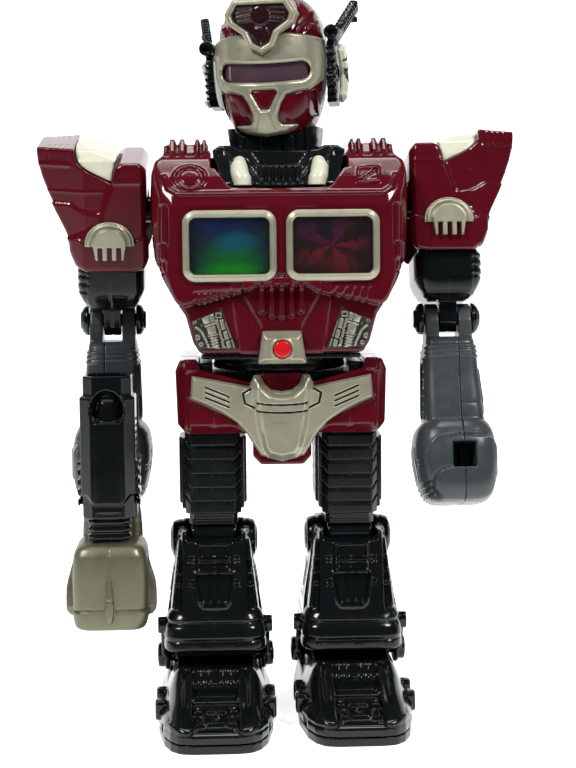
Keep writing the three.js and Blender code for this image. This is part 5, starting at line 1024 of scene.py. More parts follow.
def forearm():
    g = Grid((58.6, 97.4), (-22.4, 22), (E - 85.4, E + 7.6), 0.5)
    x, y, z, ay = g.x, g.y, g.z - E, np.abs(g.y)
    gz = type("G", (), {})(); gz.x, gz.y, gz.z = x, y, z
    tube_ = loft(gz, [(-62, 13.3, -14.5, 14.5, 78.2), (-47, 13.2, -14.4, 14.4, 77.6), (-28, 12.3, -13.1, 13.1, 77.0), (-13, 11.3, -12.1, 12.1, 76.6), (-9.4, 10.4, -9.8, 9.8, 76.6)], 6, k=1.6)
    R = 0.0
    for c in (-14.2, -16.4, -18.6):
        bow = c - 0.0022 * (x - 78) ** 2
        R = R + relief(np.abs(z - bow) - 0.55, 0.6, 0.45)
    R = R - relief(np.abs(z + 13.0) - 0.3, 0.3, 0.3)
    R = R - relief(np.abs(z + 40.5) - 0.3, 0.35, 0.3) * (x > 80)
    corner = relief(np.abs(ay - 9.4) - 0.35 + 0 * z, 0.5, 0.3) * ((z < -20) & (z > -46)) * (np.abs(x - 77.5) > 8)
    tube_ = tube_ - R + corner
    # side mouldings: long slot with rungs on the inner side, panel on the outer side
    inn = np.clip((68 - x) / 1.5, 0, 1); out_ = np.clip((x - 87) / 1.5, 0, 1)
    s1 = rbox(y, z, -1, -33, 5.6, 12.5, 2.4)
    m = relief(s1, -1.1, 0.4) + relief(np.abs(s1 - 1.0) - 0.5, 0.7, 0.4)
    for k in range(6):
        m = m + relief(rbox(y, z, -1, -24 - k * 3.7, 3.8, 0.8, 0.3), 0.9, 0.3)
    tube_ = tube_ - m * inn
    s2 = poly(y, z, [(-7, -24), (6, -24), (8, -38), (5, -45), (-7, -45), (-9, -38)], 1.5)
    tube_ = tube_ - (relief(s2, 0.7, 0.4) - relief(np.abs(s2 + 2.4) - 0.35, 0.6, 0.3) - relief(seg(y, z, (-3, -30), (-3, -40)) - 0.8, 0.8, 0.35)) * out_
    cheeks = smax(poly(y, z, [(-7.6, -13), (-7.6, -1.6), (-5.4, 4.6), (0, 7.2), (5.4, 4.6), (7.6, -1.6), (7.6, -13)], 2.6) + 0 * x, slab(x, 66.1, 86.9), 0.7)
    V = smin(tube_, cheeks, 0.8)
    fist = loft(gz, [(-84.6, 12.0, -14, 14.4, 78.4), (-81.5, 15.0, -18.4, 18.4, 78.3), (-73, 17.4, -21, 20.5, 78.0), (-62, 18.4, -21.5, 20.9, 77.6), (-53, 17.2, -19.8, 19.4, 77.4), (-47.6, 14.4, -16.2, 16, 77.6)], 3.6, k=2.0)
    # hand: flat front pad, thumb crossing low on the inner side, knuckle rows
    fr = np.clip((-12 - y) / 4, 0, 1)
    palm = poly(x, z, [(70.0, -84), (66.4, -79), (66.6, -74), (69.6, -70.8), (75.4, -69.6), (75.4, -56), (93, -56), (97, -62), (97, -84)], 1.6)
    F_ = relief(palm, 0.85, 0.6)
    F_ = F_ - relief(np.abs(palm - 0.7) - 0.4, 0.5, 0.4)
    F_ = F_ + relief(path(x, z, [(62.8, -61.5), (68, -56.2), (78, -54.4), (88, -54.6), (92.6, -58)]) - 0.3, 0.5, 0.9)
    fist = fist - F_ * fr
    side_in = np.clip((65.5 - x) / 2.5, 0, 1)
    K = 0.0
    for k in (-66.6, -68.4):
        K = K - relief(seg(y, z, (-16, k), (-8, k + 0.6)) - 0.4, 0.6, 0.3)
    for k in range(4):
        K = K - relief(seg(y, z, (-6.5 + k * 6.2, -82), (-7.5 + k * 6.2, -60)) - 0.55, 1.2, 0.5)
    K = K - relief(path(y, z, [(-9, -60), (4, -57.4), (16, -60)]) - 0.4, 0.6, 0.4)
    fist = fist - K * side_in
    for k in range(3):
        fist = fist + relief(np.abs(z - (-75.5 - k * 2.6) - (x - 66) * 0.25) - 0.4 + 0 * y, 0.9, 0.35) * np.clip((67.2 - x) / 1.2, 0, 1) * np.clip((y + 19) / 3, 0, 1)
    so = np.clip((x - 90) / 2.5, 0, 1)
    O_ = relief(rbox(y, z, 0, -66, 9, 7.5, 3), 0.9, 0.5)
    for k in (-5, 0, 5):
        O_ = O_ - relief(seg(y, z, (k, -72), (k, -60)) - 0.5, 0.7, 0.35)
    fist = fist - O_ * so
    fist = np.maximum(fist, (x - 96.2) + 0 * y)
    V = smin(V, fist, 0.7)
    # middle seam, clevis gap, pin bore, square socket
    V = V + relief(np.abs(x - 80) - 0.1, 0.18, 0.3) * (z < -12)
    V = np.maximum(V, -np.maximum(np.abs(x - 76.5) - 4.5, -9.6 - z + 0 * y))
    V = np.maximum(V, -(np.hypot(y, z) - 3.2 + 0 * x))
    V = np.maximum(V, -(np.maximum(rbox(x, z, 80, -64, 5.1, 5.7, 0.5) + 0 * y, y)))
    sculpt("forearm_inner", g, np.maximum(V, x - 79.96), FORE, lambda s: s + "_forearm", GREY, ["*_forearm_inner"], 34000, BOTH)
    sculpt("forearm_outer", g, np.maximum(V, 80.04 - x), FORE, lambda s: s + "_forearm", GREY, ["*_forearm_outer"], 30000, BOTH)
    g = Grid((61, 91.4), (-7.3, 7.3), (E - 7.3, E + 7.3), 0.36)
    x, y, z = g.x, g.y, g.z - E
    r = np.hypot(y, z)
    V = np.maximum(r - 2.95, slab(x, 62, 90.8))
    hexa = np.maximum(np.abs(z), np.maximum(np.abs(z * 0.5 + y * 0.866), np.abs(z * 0.5 - y * 0.866)))
    inner_cap = smax(smin(r - 7.15, hexa - 6.6, 0.2), np.maximum(x - 65.6, (61.05 - x) + np.maximum(r - 3.4, 0) * 0.62), 0.5)
    outer_cap = smax(r - 7.1, np.maximum(87.35 - x, (x - 91.3) + np.maximum(r - 3.0, 0) ** 2 * 0.16), 0.5)
    V = np.minimum(V, np.minimum(inner_cap, outer_cap))
    V = V + relief(np.abs(r - 4.6) - 0.35, 0.5, 0.3) * ((x < 63) | (x > 89)) + (relief(np.abs(z) - 0.5 + 0 * y, 0.6, 0.25) * (r < 3.2) * (x > 89.5))
    sculpt("elbow_pin", g, V, FORE, lambda s: s + "_forearm", BLACK, ["*_elbow_pin"], 7000, BOTH)

# ------------------------------------------------------------------ blaster, held in the right fist
def blaster():
    cx, cy, zc = -77.0, -40.0, E - 64.0
    g = Grid((-92, -62), (-54, -0.8), (zc - 31.5, zc + 42.2), 0.5)
    x, y, z = g.x - cx, g.y - cy, g.z - zc
    def octo(hw, hy, c):
        return np.maximum(np.maximum(np.abs(x) - hw, np.abs(y) - hy), (np.abs(x) + np.abs(y) - (hw + hy - c)) / 1.4142)
    body = smax(octo(12.1, 13.5, 4.8) + 0 * z, slab(z, -22, 41.9), 0.5)
    # upper part is a step narrower, with an arched opening in front
    body = smax(body, octo(10.6, 12.4, 4.4) - 6 * ss((33.5 - z) / 2.6) , 0.3)
    body = body + relief(np.abs(np.abs(x) - 5.6) - 0.3 + 0 * z, 0.45, 0.3) * (y < -8) * (z < 24)
    body = np.maximum(body, -(np.maximum(octo(8.6, 10.2, 3.2), 27 - z)))
    arch = np.maximum(z - 26.6 + 0.045 * x * x, 0) * 0
    ar = np.maximum(np.hypot(x / 7.4, (z - 27.0) / 8.8) * 7.4 - 7.4, 21.5 - z)
    body = np.maximum(body, -np.maximum(ar, y + 7))
    top = poly(x, z, [(-12, 50), (-12, 40.2), (-7.5, 40.8), (-4, 42.2), (4, 42.2), (7.5, 40.8), (12, 40.2), (12, 50)])
    # rounded receiver core showing through the arch
    core = smax(np.hypot(x, y) - 9.6, np.hypot(x / 7.0, (z - 22) / 11.4) * 7.0 - 7.0, 0.8)
    core = core + relief(np.abs(z - 30.6) - 0.4, 0.5, 0.3) + relief(seg(x, z, (-4.6, 26), (-3.4, 31)) - 0.3, 0.5, 0.3) * (y < 0)
    body = np.minimum(body, core)
    # side lugs and cooling slots
    lug = smax(np.maximum(np.abs(np.abs(x) - 12.6) - 1.2, slab(y, -6, 6)), slab(z, -16, 4), 0.6)
    body = smin(body, lug, 0.5)
    tip = smax(np.maximum(octo(10.8, 12.9, 4.8), (-(z + 21.9) + np.maximum(np.abs(x) - 4.5, 0) * 0.5)), -30 - z, 0.3)
    body = body + 0.8 * relief(poly(x, z, [(-13, -11), (-9.8, -10.4), (-6.0, -14.5), (6.0, -14.5), (9.8, -10.4), (13, -11), (13, -30), (-13, -30)]), 1.0, 0.35) * (y < 0)
    for k in range(4):
        body = body + relief(seg(y, z, (-6, -12 + k * 4.4), (6, -12 + k * 4.4)) - 0.7, 1.0, 0.35) * (np.abs(x) > 12.6)
    for k in range(5):
        body = body + relief(seg(y, z, (-5, 9 + k * 3.2), (6, 9 + k * 3.2)) - 0.55, 0.9, 0.3) * (np.abs(x) > 11)
    # rounded shoulders at the bottom, then the neck with its rolls
    body = body - relief(np.abs(z + 17.6) - 0.5 + 0.02 * x * x, 0.5, 0.5) * (y < -6)
    def rolls(hw, hy, c, z0, z1, k):
        return smax(octo(hw, hy, c) + 0 * z, slab(z, z0, z1), k)
    nk = rolls(8.5, 9.5, 2.6, -31.3, -20, 0.3)
    for k in (0, 1, 2):
        nk = smin(nk, rolls(9.5, 10.5, 3.0, -30.7 + k * 3.4, -28.3 + k * 3.4, 0.9), 0.3)
    V = smin(body, nk, 0.4)
    X, Y, Z = g.x, g.y, g.z
    peg = smax(rbox(X, Z, -80, zc, 4.75, 5.35, 0.8) + 0 * Y, slab(Y, -28, -1.05), 0.5)
    peg = np.maximum(peg, -(np.maximum(rbox(X, Z, -80, zc, 2.6, 3.2, 0.6) + 0 * Y, -12 - Y)))
    V = smin(V, peg, 0.4)
    V = np.maximum(V, -60 - X * 0 - 60 + 0 * V) if False else V
    sculpt("blaster_body", g, V, FORE["right"], "blaster", BLACK, ["blaster_body"], 52000)
    # clenched pod below
    P = zc - 32
    g = Grid((cx - 20.4, cx + 20.4), (cy - 19.8, cy + 21.9), (P - 38.6, P + 17.8), 0.5)
    x, y, z = g.x - cx, g.y - cy, g.z - P
    gz = type("G", (), {})(); gz.x, gz.y, gz.z = x, y, z
    V = loft(gz, [(-38.4, 14.2, -15.4, 19.6), (-36.4, 15.8, -16.5, 20.6), (-29, 16.9, -17.1, 21.2), (-6, 16.4, -16.8, 21.0), (-2.0, 15.0, -15.2, 19.2), (0, 13.6, -13.6, 17.6)], 6.5, k=2.2)
    step = relief(np.abs(z + 28.8 + 0.002 * x * x) - 0.38, 0.9, 0.3)
    V = V + step + 0.25 * ss((z + 28.8) / 0.5) * (z > -28.8)
    V = V + relief(np.abs(x) - 0.2 + 0 * z, 0.35, 0.2) * (z > -9) * (y < 0)
    def fin(u, w):
        """blade on a flank: u across it, w out of the surface"""
        prof = poly(u, z, [(-0.35, -8.0), (0.35, -8.0), (1.5, -22.0), (1.8, -29), (1.2, -33.6), (0, -35.0), (-1.2, -33.6), (-1.8, -29), (-1.5, -22.0)], 0.3)
        h = 3.0 * ss((-6.5 - z) / 19) * ss((z + 36.0) / 4.0)
        return smax(prof, w - h, 0.5) + relief(np.abs(z + 24.4) - 0.22, 0.3, 0.2) + relief(np.abs(u) - 0.15, 0.3, 0.2) * (z < -24)
    V = smin(V, np.maximum(fin(x, -(y + 16.4)), y + 10), 0.35)
    def side_fin():
        prof = poly(y, z, [(-1.2, -8.0), (1.2, -8.0), (5.2, -22.0), (5.6, -29), (3.6, -33.4), (-3.6, -33.4), (-5.6, -29), (-5.2, -22.0)], 0.6)
        h = 3.4 * ss((-5.0 - z) / 18) * ss((z + 36.0) / 6.0)
        return smax(prof + 0 * x, np.abs(x) - 16.6 - h, 0.6) + relief(np.abs(z + 22.6) - 0.22, 0.3, 0.2)
    V = smin(V, np.maximum(side_fin(), 10 - np.abs(x)), 0.35)
    # two tapered horns behind the neck
    ax = np.abs(x)
    t = np.clip((z + 3) / 20.4, 0, 1)
    hx = 3.35 * np.sqrt(np.maximum(1 - t ** 2.2, 0)) + 0.25
    horn = (np.hypot((ax - 10.0 - 0.1 * t), (y - 16.6) * 1.15) - hx)
    horn = smax(horn, slab(z, -4, 17.4), 0.4)
    horn = horn + relief(np.abs(z - 5.6) - 0.22, 0.35, 0.2)
    V = smin(V, horn, 0.5)
    V = np.maximum(V, -np.maximum(np.maximum(ax - 5, np.abs(y) - 5), -4 - z))
    sculpt("blaster_pod", g, V, FORE["right"], "blaster", GOLD, ["blaster_pod"], 28000)

# ------------------------------------------------------------------ legs, left side drawn, in each leg's own frame
def thigh():
    g = Grid((15.8, 47), (-23.2, 23.2), (86.4, 151.4), 0.42)
    x, y, z, ay = g.x - LEG_X, g.y, g.z, np.abs(g.y)
    ax = np.abs(x)
    col = poly(x, y, [(-9.8, -22), (9.8, -22), (12.6, -17.5), (12.6, 19), (9.8, 22), (-9.8, 22), (-12.6, 19), (-12.6, -17.5)], 0.5)
    side = poly(y, z, [(-22.2, 92), (-22.4, 134), (-11, 148.8), (-7, 150.4), (7, 150.4), (11, 148.8), (22.4, 134), (22.2, 92)], 0.8)
    V = smax(smax(col + 0 * z, side + 0 * x, 0.6), slab(z, 92, 150.4), 0.5)
    # grooves between the stacked bands, running up and outwards over the corners
    G = 0.0
    for zg in (129.0, 122.6, 116.2, 109.8, 103.4, 97.2):
        lift = np.maximum(ax - 9.9, 0) * 1.25
        G = G + relief(np.abs(z - zg - lift) - 0.34, 0.9, 0.42)
    V = V + G * (z < 131)
    V = V + relief(ax - 0.15 + 0 * z, 0.3, 0.25) * (y < 0) * (z < 134)
    # side rails with their own steps
    rib = smax(rbox(x, y, 0, 1, 15.3, 13, 1.5) + 0 * z, slab(z, 96.2, 126.4), 0.5)
    rib2 = smax(rbox(x, y, 0, 0.5, 14.1, 17.4, 1.0) + 0 * z, slab(z, 94.2, 126.4), 0.4)
    for k in range(5):
        rib = rib + relief(seg(y, z, (-9, 101 + k * 5.2), (10, 104.5 + k * 5.2)) - 0.7, 0.8, 0.35) * (ax > 14.2)
    rib2 = rib2 + relief(np.abs(ay - 15.6) - 0.3 + 0 * z, 0.5, 0.3) * (ax > 12.8)
    V = smin(V, np.minimum(rib, rib2), 0.3)
    knee = smax(poly(x, y, [(-9, -18), (9, -18), (11, -15), (11, 16), (-11, 16), (-11, -15)], 0.8) + 0 * z, slab(z, 86.7, 94), 0.4)
    slope = smax(rbox(x, y, 0, -1, 9.0, 19.6, 1) + 0 * z, slab(z, 89.5, 94), 0.8)
    V = smin(V, np.minimum(knee, slope), 0.4)
    V = np.maximum(V, -np.maximum(rbox(x, y, 0, -1, 8.6, 14, 2) + 0 * z, z - 140))
    V = np.maximum(V, -(np.hypot(y, z - HIP_Z) - 3.2 + 0 * x))
    sculpt("thigh", g, V, LEG, lambda s: s + "_leg", BLACKSAT, ["*_thigh"], 78000, BOTH)

def shin():
    g = Grid((LEG_X - 27.2, LEG_X + 27.2), (-35.2, 30.2), (17.5, 88.4), 0.55)
    x, y, z, ay = g.x - LEG_X, g.y, g.z, np.abs(g.y)
    ax = np.abs(x)
    gz = type("G", (), {})(); gz.x, gz.y, gz.z = x, y, z
    rows = [(32, 23.2, -34.9, 29.9), (37, 23.0, -34.5, 29.6), (42, 22.4, -33.2, 28.9), (47, 21.6, -31.8, 28.2), (56, 20.2, -30.0, 26.9), (70, 18.0, -27.2, 25.5), (84.4, 16.0, -24.5, 23.9)]
    V = loft(gz, rows, 6.5, k=1.0)
    fr = np.clip((-14 - y) / 4, 0, 1); bk = np.clip((y - 14) / 4, 0, 1)
    R = 0.0
    # two rolled bands above the skirt
    R = R + relief(np.abs(z - 46.0) - 0.7 + 0 * x, 0.35, 0.8) - relief(np.abs(z - 44.3) - 0.3 + 0 * x, 0.45, 0.35)
    R = R + relief(np.abs(z - 40.4) - 2.6 + 0 * x, 0.35, 0.8) - relief(np.abs(z - 36.6) - 0.3 + 0 * x, 0.4, 0.35)
    R = R - relief(ax - 0.12 + 0 * z, 0.22, 0.25) * (z < 52)
    # front panel edges running down the corners
    R = R - 1.15 * ss((ax - 14.1 - (84 - z) * 0.012) / 0.9) * (z > 47.5) * ss((z - 47.5) / 3)
    R = R + relief(seg(ax, z, (15.9, 80), (18.6, 51)) - 1.0, 1.3, 0.9) * (z > 47)
    for c in (60.5, 66.5, 72.5):
        R = R - relief(seg(ax, z, (15.4, c), (18.8, c + 1.2)) - 0.25, 0.5, 0.3)
    # hatch: box with a cross bar
    hb = rbox(x, z, 0, 73.4, 7.7, 6.4, 0.8)
    R = R + relief(hb, 1.0, 0.35) - relief(rbox(x, z, 0, 76.0, 6.2, 2.9, 0.6), 1.2, 0.3) - relief(rbox(x, z, 0, 69.6, 6.2, 1.8, 0.6), 1.2, 0.3)
    R = R + relief(np.abs(z - 72.4) - 0.5 + 0 * x, 0.5, 0.3) * (ax < 7.4)
    R = R - relief(np.abs(ax) - 0.2 + 0 * z, 0.3, 0.2) * (z > 67)
    # long trapezoid recess with a keel
    tr = poly(x, z, sym([(0, 66.4), (8.2, 66.4), (6.2, 54.4), (4.8, 52.2), (0, 52.19)]), 1.0)
    R = R - relief(tr, 1.5, 0.4) + relief(np.abs(tr - 0.9) - 0.5, 0.45, 0.4) + relief(np.abs(ax - 1.9) - 0.45 + 0 * z, 0.7, 0.3) * (tr < -1.2)
    # little bolt slots beside the panels
    for zz in (73.0, 71.2, 62.6, 60.8):
        R = R - relief(rbox(ax, z, 10.2, zz, 0.9, 0.5, 0.2), 0.9, 0.25)
    V = V - R * np.clip(fr + bk * 0.75, 0, 1)
    # sides: long slit with hose relief, collar slots low down
    sd = np.clip((ax - 11) / 2, 0, 1)
    S_ = -relief(poly(y, z, [(-17, 82), (-11.5, 82), (-12.5, 52), (-18.5, 47), (-20.5, 50)], 1.0), 1.6, 0.4)
    S_ = S_ + relief(path(y, z, [(-14, 80), (-15.5, 66), (-16, 52)]) - 0.8, 1.3, 0.5)
    S_ = S_ - relief(np.abs(rbox(y, z, 6, 60, 10, 10, 2)) - 0.45, 0.7, 0.35) + relief(rbox(y, z, 6, 60, 6, 6, 1.5), 0.5, 0.4)
    S_ = S_ - relief(np.abs(z - 44) - 0.4 + 0 * y, 0.5, 0.3)
    V = V - S_ * sd * (np.abs(y) < 23)
    # open top for the knee; the front lip dips between the corners
    top_y = smax(rbox(x, y, 0, -1.0, 11.7, 20.9, 2.5) + 0 * z, 68 - z, 0.5)
    V = np.maximum(V, -top_y)
    # knee post that closes the pit under the thigh
    V = np.minimum(V, smax(rbox(x, y, 0, -1.0, 10.3, 17.6, 2.0) + 0 * z, slab(z, 60, 86.2), 0.5))
    V = smax(V, -np.maximum(poly(y, z, [(-40, 95), (-40, 79.6), (-26, 79.6), (-19, 83), (-12, 92)], 0.5), np.abs(x) - 12.2), 0.5)
    V = np.maximum(V, -np.maximum(np.maximum(poly(x, z, [(-19.6, 25), (-19.6, 36), (-17, 43.5), (17, 43.5), (19.6, 36), (19.6, 25)]), slab(y, -29, 25)), -99))
    # knee pods: domed discs with rims
    r = np.hypot(y, z - 78)
    d = ax - 12
    pod = smax(r - (9.65 - 0.028 * np.maximum(d, 0) ** 2), np.maximum(11 - ax, ax - 20.2 + 0.045 * np.maximum(r - 2.6, 0) ** 2), 0.7)
    pod = pod + relief(np.abs(r - 6.8) - 0.35, 0.45, 0.3) * (ax > 16) + relief(np.abs(ax - 14.6) - 0.35 + 0 * z, 0.5, 0.3)
    V = smin(V, pod, 0.4)
    # ankle ears, knobs with rims, studs
    ear = smax(poly(y, z, [(-9.5, 40), (-7, 20), (-3.4, 17.7), (3.4, 17.7), (7, 20), (9.5, 40)], 2.0) + 0 * x, slab(ax, 21.0, 23.3), 0.4)
    ra = np.hypot(y, z - ANKLE_Z)
    knob = smax(ra - 5.7, np.maximum(22.4 - ax, ax - 27.0 + 0.05 * np.maximum(ra - 2, 0) ** 2), 0.6)
    knob = knob + relief(np.abs(ra - 3.6) - 0.3, 0.4, 0.25) * (ax > 25)
    stud = np.maximum(ra - 2.95, slab(ax, 14.6, 22.5))
    V = smin(V, np.minimum(np.minimum(ear, knob), stud), 0.4)
    # hose brackets standing off the skirt
    for zz, rr in ((41.0, 2.4),):
        br = smax(np.hypot(y + 16, (z - zz) * 0.62) - rr, np.abs(ax - 23.4) - 2.6, 0.5)
        V = smin(V, br, 0.5)
    arm_ = smax(seg(y, z, (-16, 41), (-7, 26)) - 1.2 + 0 * x, np.abs(ax - 23.6) - 1.2, 0.4)
    V = smin(V, arm_, 0.5)
    sculpt("shin", g, V, LEG, lambda s: s + "_leg", BLACK, ["*_shin"], 60000, BOTH)

def blocks():
    """round ankle block standing on the foot inside the skirt of the shin"""
    g = Grid((LEG_X - 18.6, LEG_X + 18.6), (-13, 13), (24.4, 37), 0.5)
    x, y, z = g.x - LEG_X, g.y, g.z
    ra = np.hypot(y, z - ANKLE_Z)
    V = smax(smax(ra - 12.5, np.abs(x) - 18.2, 0.6), 24.6 - z, 0.3)
    V = V + relief(np.abs(np.abs(x) - 9) - 0.4 + 0 * ra, 0.5, 0.4)
    V = np.maximum(V, -np.maximum(ra - 3.5, 13.8 - np.abs(x)))
    sculpt("ankle_block", g, V, FOOT, lambda s: s + "_foot", BLACKSAT, (), 6000, BOTH)

def foot():
    g = Grid((LEG_X - 27.1, LEG_X + 27.1), (-80.2, 35.2), (4.25, 27), 0.55)
    x, y, z = g.x - LEG_X, g.y, g.z
    ax = np.abs(x)
    out = sym([(0, 35), (17, 34), (22.8, 26), (25.3, 8), (25.3, -46), (22.4, -66), (19.4, -74), (15.4, -78.8), (10, -80), (0, -80)])
    O = poly(x, y, out, 6.0)
    # surface height over (x, y): fenders either side of a stepped channel
    prof = spline(y, [-80.2, -77, -70, -60, -50, -43, -38, -30, 30, 35.2], [9.4, 11.2, 13.9, 17.2, 20.9, 24.2, 25.9, 26.2, 26.2, 20.5])
    crown = 1.0 - ss((ax - 13.2) / 12.4)
    wall = 8.6 + (24.6 - ax) * 0.10
    H = prof - (prof - wall) * ss((ax - 15.0) / 10.6) ** 1.25 * 0.95
    # fender: soft long hump with a hollow on its inner flank
    H = H + 0.9 * np.exp(-((ax - 17.0) / 3.2) ** 2) * ss((y + 74) / 14) * (y < -20)
    H = H - 1.2 * np.exp(-((ax - 12.9) / 1.7) ** 2) * ss((y + 70) / 12) * (y < -36)
    H = H - relief(seg(ax, y, (19.6, -70), (23.4, -34)) - 0.35 + 0 * x, 0.6, 0.4)
    # channel
    ch = rbox(ax, y, 0, -58, 10.2, 22.4, 1.2)
    zc_ = spline(y, [-80.2, -77, -72, -64, -56, -50.5, -49.2, -44, -39.4, -38.2, -37.2, -36], [8.4, 9.3, 10.6, 12.2, 13.6, 14.5, 16.2, 18.4, 20.2, 22.4, 25.4, 25.9])
    D = zc_ + 0 * x
    # mechanical blocks on the toe
    def blk(D, cx, cy, hx, hy, h, r=0.3, e=0.22):
        return np.maximum(D, zc_ + relief(rbox(ax if cx > 0 else x, y, cx, cy, hx, hy, r), h, e))
    D = blk(D, 6.6, -70.0, 2.2, 4.2, 1.5); D = D - relief(rbox(ax, y, 6.6, -70, 1.1, 3.0, 0.3), 0.7, 0.2) + relief(rbox(ax, y, 6.6, -71.4, 0.8, 0.8, 0.2), 0.5, 0.2)
    D = blk(D, 7.8, -60.6, 1.9, 3.2, 1.9); D = D - relief(np.hypot(ax - 7.8, y + 60.6) - 1.0, 0.7, 0.25)
    D = blk(D, 0, -60.4, 4.4, 1.5, 1.3); D = blk(D, 0, -64.6, 1.5, 2.0, 1.7); D = D - relief(np.hypot(x, y + 64.6) - 0.8, 0.6, 0.2)
    D = blk(D, 0, -72.6, 4.0, 1.0, 1.6); D = blk(D, 0, -70.6, 1.5, 1.6, 1.9); D = D - relief(np.hypot(x, y + 70.6) - 0.8, 0.7, 0.2)
    for k in range(4):
        D = D + relief(rbox(x, y, -3.3 + k * 2.2, -56.6, 0.6, 1.4, 0.2), 0.8, 0.2)
    D = D - relief(np.abs(rbox(x, y, 0, -66, 9.4, 10.4, 1.0)) - 0.25, 0.45, 0.2)
    D = blk(D, 8.6, -75.8, 1.1, 1.1, 0.9)
    D = D + relief(seg(x, y, (-8.6, -49.0), (8.6, -49.0)) - 0.6, 0.6, 0.5)
    for c in (3.2, 6.6):
        D = D - relief(rbox(ax, y, c, -38.0, 0.5, 1.5, 0.2), 1.8, 0.4)
    H = np.where(ch < 0, np.minimum(H, D), H - 0.0)
    H = H - 0.5 * ss((1.2 - ch) / 1.2) * (ch >= 0) * (y < -37)
    V = smax(smax(O + 0 * z, (z - H) * 0.82, 1.2), 4.3 - z, 0.3)
    # band round the front edge; the seam line after it is multiplied by zero and adds nothing
    V = V + relief(np.abs(z - 8.2) - 0.3 + 0 * y + 0 * x, 0.4, 0.35) * (O > -4) * (y < -40)
    V = V - relief(np.abs(z - 6.2) - 1.3 + 0 * y + 0 * x, 0.25, 0.4) * (O > -4) * 0
    # clearance for the ankle ears and the open top
    ear = np.maximum(np.maximum(np.abs(ax - 23.5) - 3.7, np.abs(y) - 14), 14 - z)
    V = np.maximum(V, -ear)
    V = np.maximum(V, -np.maximum(rbox(x, y, 0, -2.0, 23.4, 33.4, 3) + 0 * z, 25.6 - z))
    V = np.maximum(V, -(np.hypot(y, z - ANKLE_Z) - 3.2 + 0 * x))
    V = np.maximum(V, -np.maximum(rbox(x, y, 0, -4, 18, 24, 3) + 0 * z, z - 21))
    # side lugs, wheel-arch like scallops along the flanks
    for yy, hl in ((-44, 3.4), (-24, 3.4)):
        lug = smax(rbox(y, z, yy, 10.4, hl, 4.5, 2.0) + 0 * x, np.abs(ax - 24.4) - 2.2, 0.6)
        lug = lug + relief(rbox(y, z, yy, 10.4, hl - 1.5, 2.6, 1.0) + 0 * x, 0.9, 0.3) * (ax > 25)
        V = smin(V, lug, 0.5)
    for yy in (-60, -34, -12, 14):
        V = V + relief(np.hypot((y - yy) / 1.25, z - 5.6) - 2.6, 1.2, 0.5) * (ax > 20) * (O > -3)
    V = V + relief(seg(y, z, (-70, 13.5), (-26, 18)) - 0.4 + 0 * x, 0.6, 0.4) * (ax > 21)
    V = np.maximum(V, ax - 26.85)
    blocks()
    sculpt("foot_upper", g, V, FOOT, lambda s: s + "_foot", BLACK, ["*_foot_upper"], 56000, BOTH)
    g = Grid((LEG_X - 25.4, LEG_X + 25.4), (-80, 35), (0, 4), 0.5)
    x, y, z = g.x - LEG_X, g.y, g.z
    O = poly(x, y, out, 6.0)
    V = smax(O + 0.15 + 0 * z, slab(z, 0, 4), 0.5)
    T = relief(np.abs(O + 3.0) - 0.7, 0.9, 0.35)
    for k in range(-8, 4):
        T = T + relief(seg(x, y, (-17, k * 8.6 + 2), (17, k * 8.6 + 2)) - 0.8, 0.9, 0.35) * (O < -5)
    V = V + T * (z < 1.6)
    for cx, cy in ((-14, -56), (14, -56), (-14, 20), (14, 20), (0, -30)):
        V = np.maximum(V, -np.maximum(np.hypot(x - cx, y - cy) - 2.1, z - 2.2))
    sculpt("foot_sole", g, V, FOOT, lambda s: s + "_foot", BLACKSAT, ["*_foot_sole"], 17000, BOTH)

# ------------------------------------------------------------------ build all the sculpted pieces
for build in (chest, bezel, abdomen, housing, collar, waist, back, deck, pelvis, belt, helmet, face, mask, crest, ears, neck,
              pad, upper_arm, forearm, blaster, thigh, shin, foot):
    build()

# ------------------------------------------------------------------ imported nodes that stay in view
def dress(name, mat, bevel=0.0):
    ob = bpy.data.objects.get(name)
    ob.data.materials.clear(); ob.data.materials.append(mat)
    if bevel:
        md = ob.modifiers.new("edge", "BEVEL"); md.width = bevel / 1000; md.segments = 3
        md.limit_method = "ANGLE"; md.angle_limit = math.radians(35); md.harden_normals = False
        ob.data.polygons.foreach_set("use_smooth", np.full(len(ob.data.polygons), True))
for s in BOTH:
    dress(s + "_window_card", CARD[s])
    dress(s + "_window_lens", CLEAR, 0.3)
dress("battery_tray", INNER, 0.4)
dress("hip_gearbox", INNER, 0.4)
dress("door_screw", STEEL, 0.2)

# ------------------------------------------------------------------ setting: pale floor and wall, soft studio light
def pale_floor():
    """matt sheet that glows a little, with painted light rising towards the back and painted shade greying it off
    towards the near side
    """
    m, t, b = nodes_of("pale_floor")
    tc = t.nodes.new("ShaderNodeTexCoord"); sp = t.nodes.new("ShaderNodeSeparateXYZ")
    t.links.new(tc.outputs["Object"], sp.inputs[0])
    # painted shade: the near side of the sheet is darkened
    near = ramp(t, sp.outputs[1], -0.62, -0.13, 0.0, 1.0)
    c = mixc(t, noise(t, 3.0, 2, 0.5, mm_coords(t, 1.0)), (0.90, 0.90, 0.90), (0.92, 0.92, 0.92))
    t.links.new(mixc(t, near, (0.07, 0.07, 0.07), c), b.inputs["Base Color"])
    # painted light: the glow rises towards the back
    far = mixc(t, ramp(t, sp.outputs[1], 0.35, 1.4, 0.0, 1.0), (0.82, 0.82, 0.82), (1.0, 1.0, 1.0))
    t.links.new(mixc(t, near, (0.0, 0.0, 0.0), far), b.inputs["Emission Color"])
    b.inputs["Emission Strength"].default_value = 0.98
    b.inputs["Roughness"].default_value = 0.8
    b.inputs["Specular IOR Level"].default_value = 0.1
    return m
FLOOR = pale_floor()
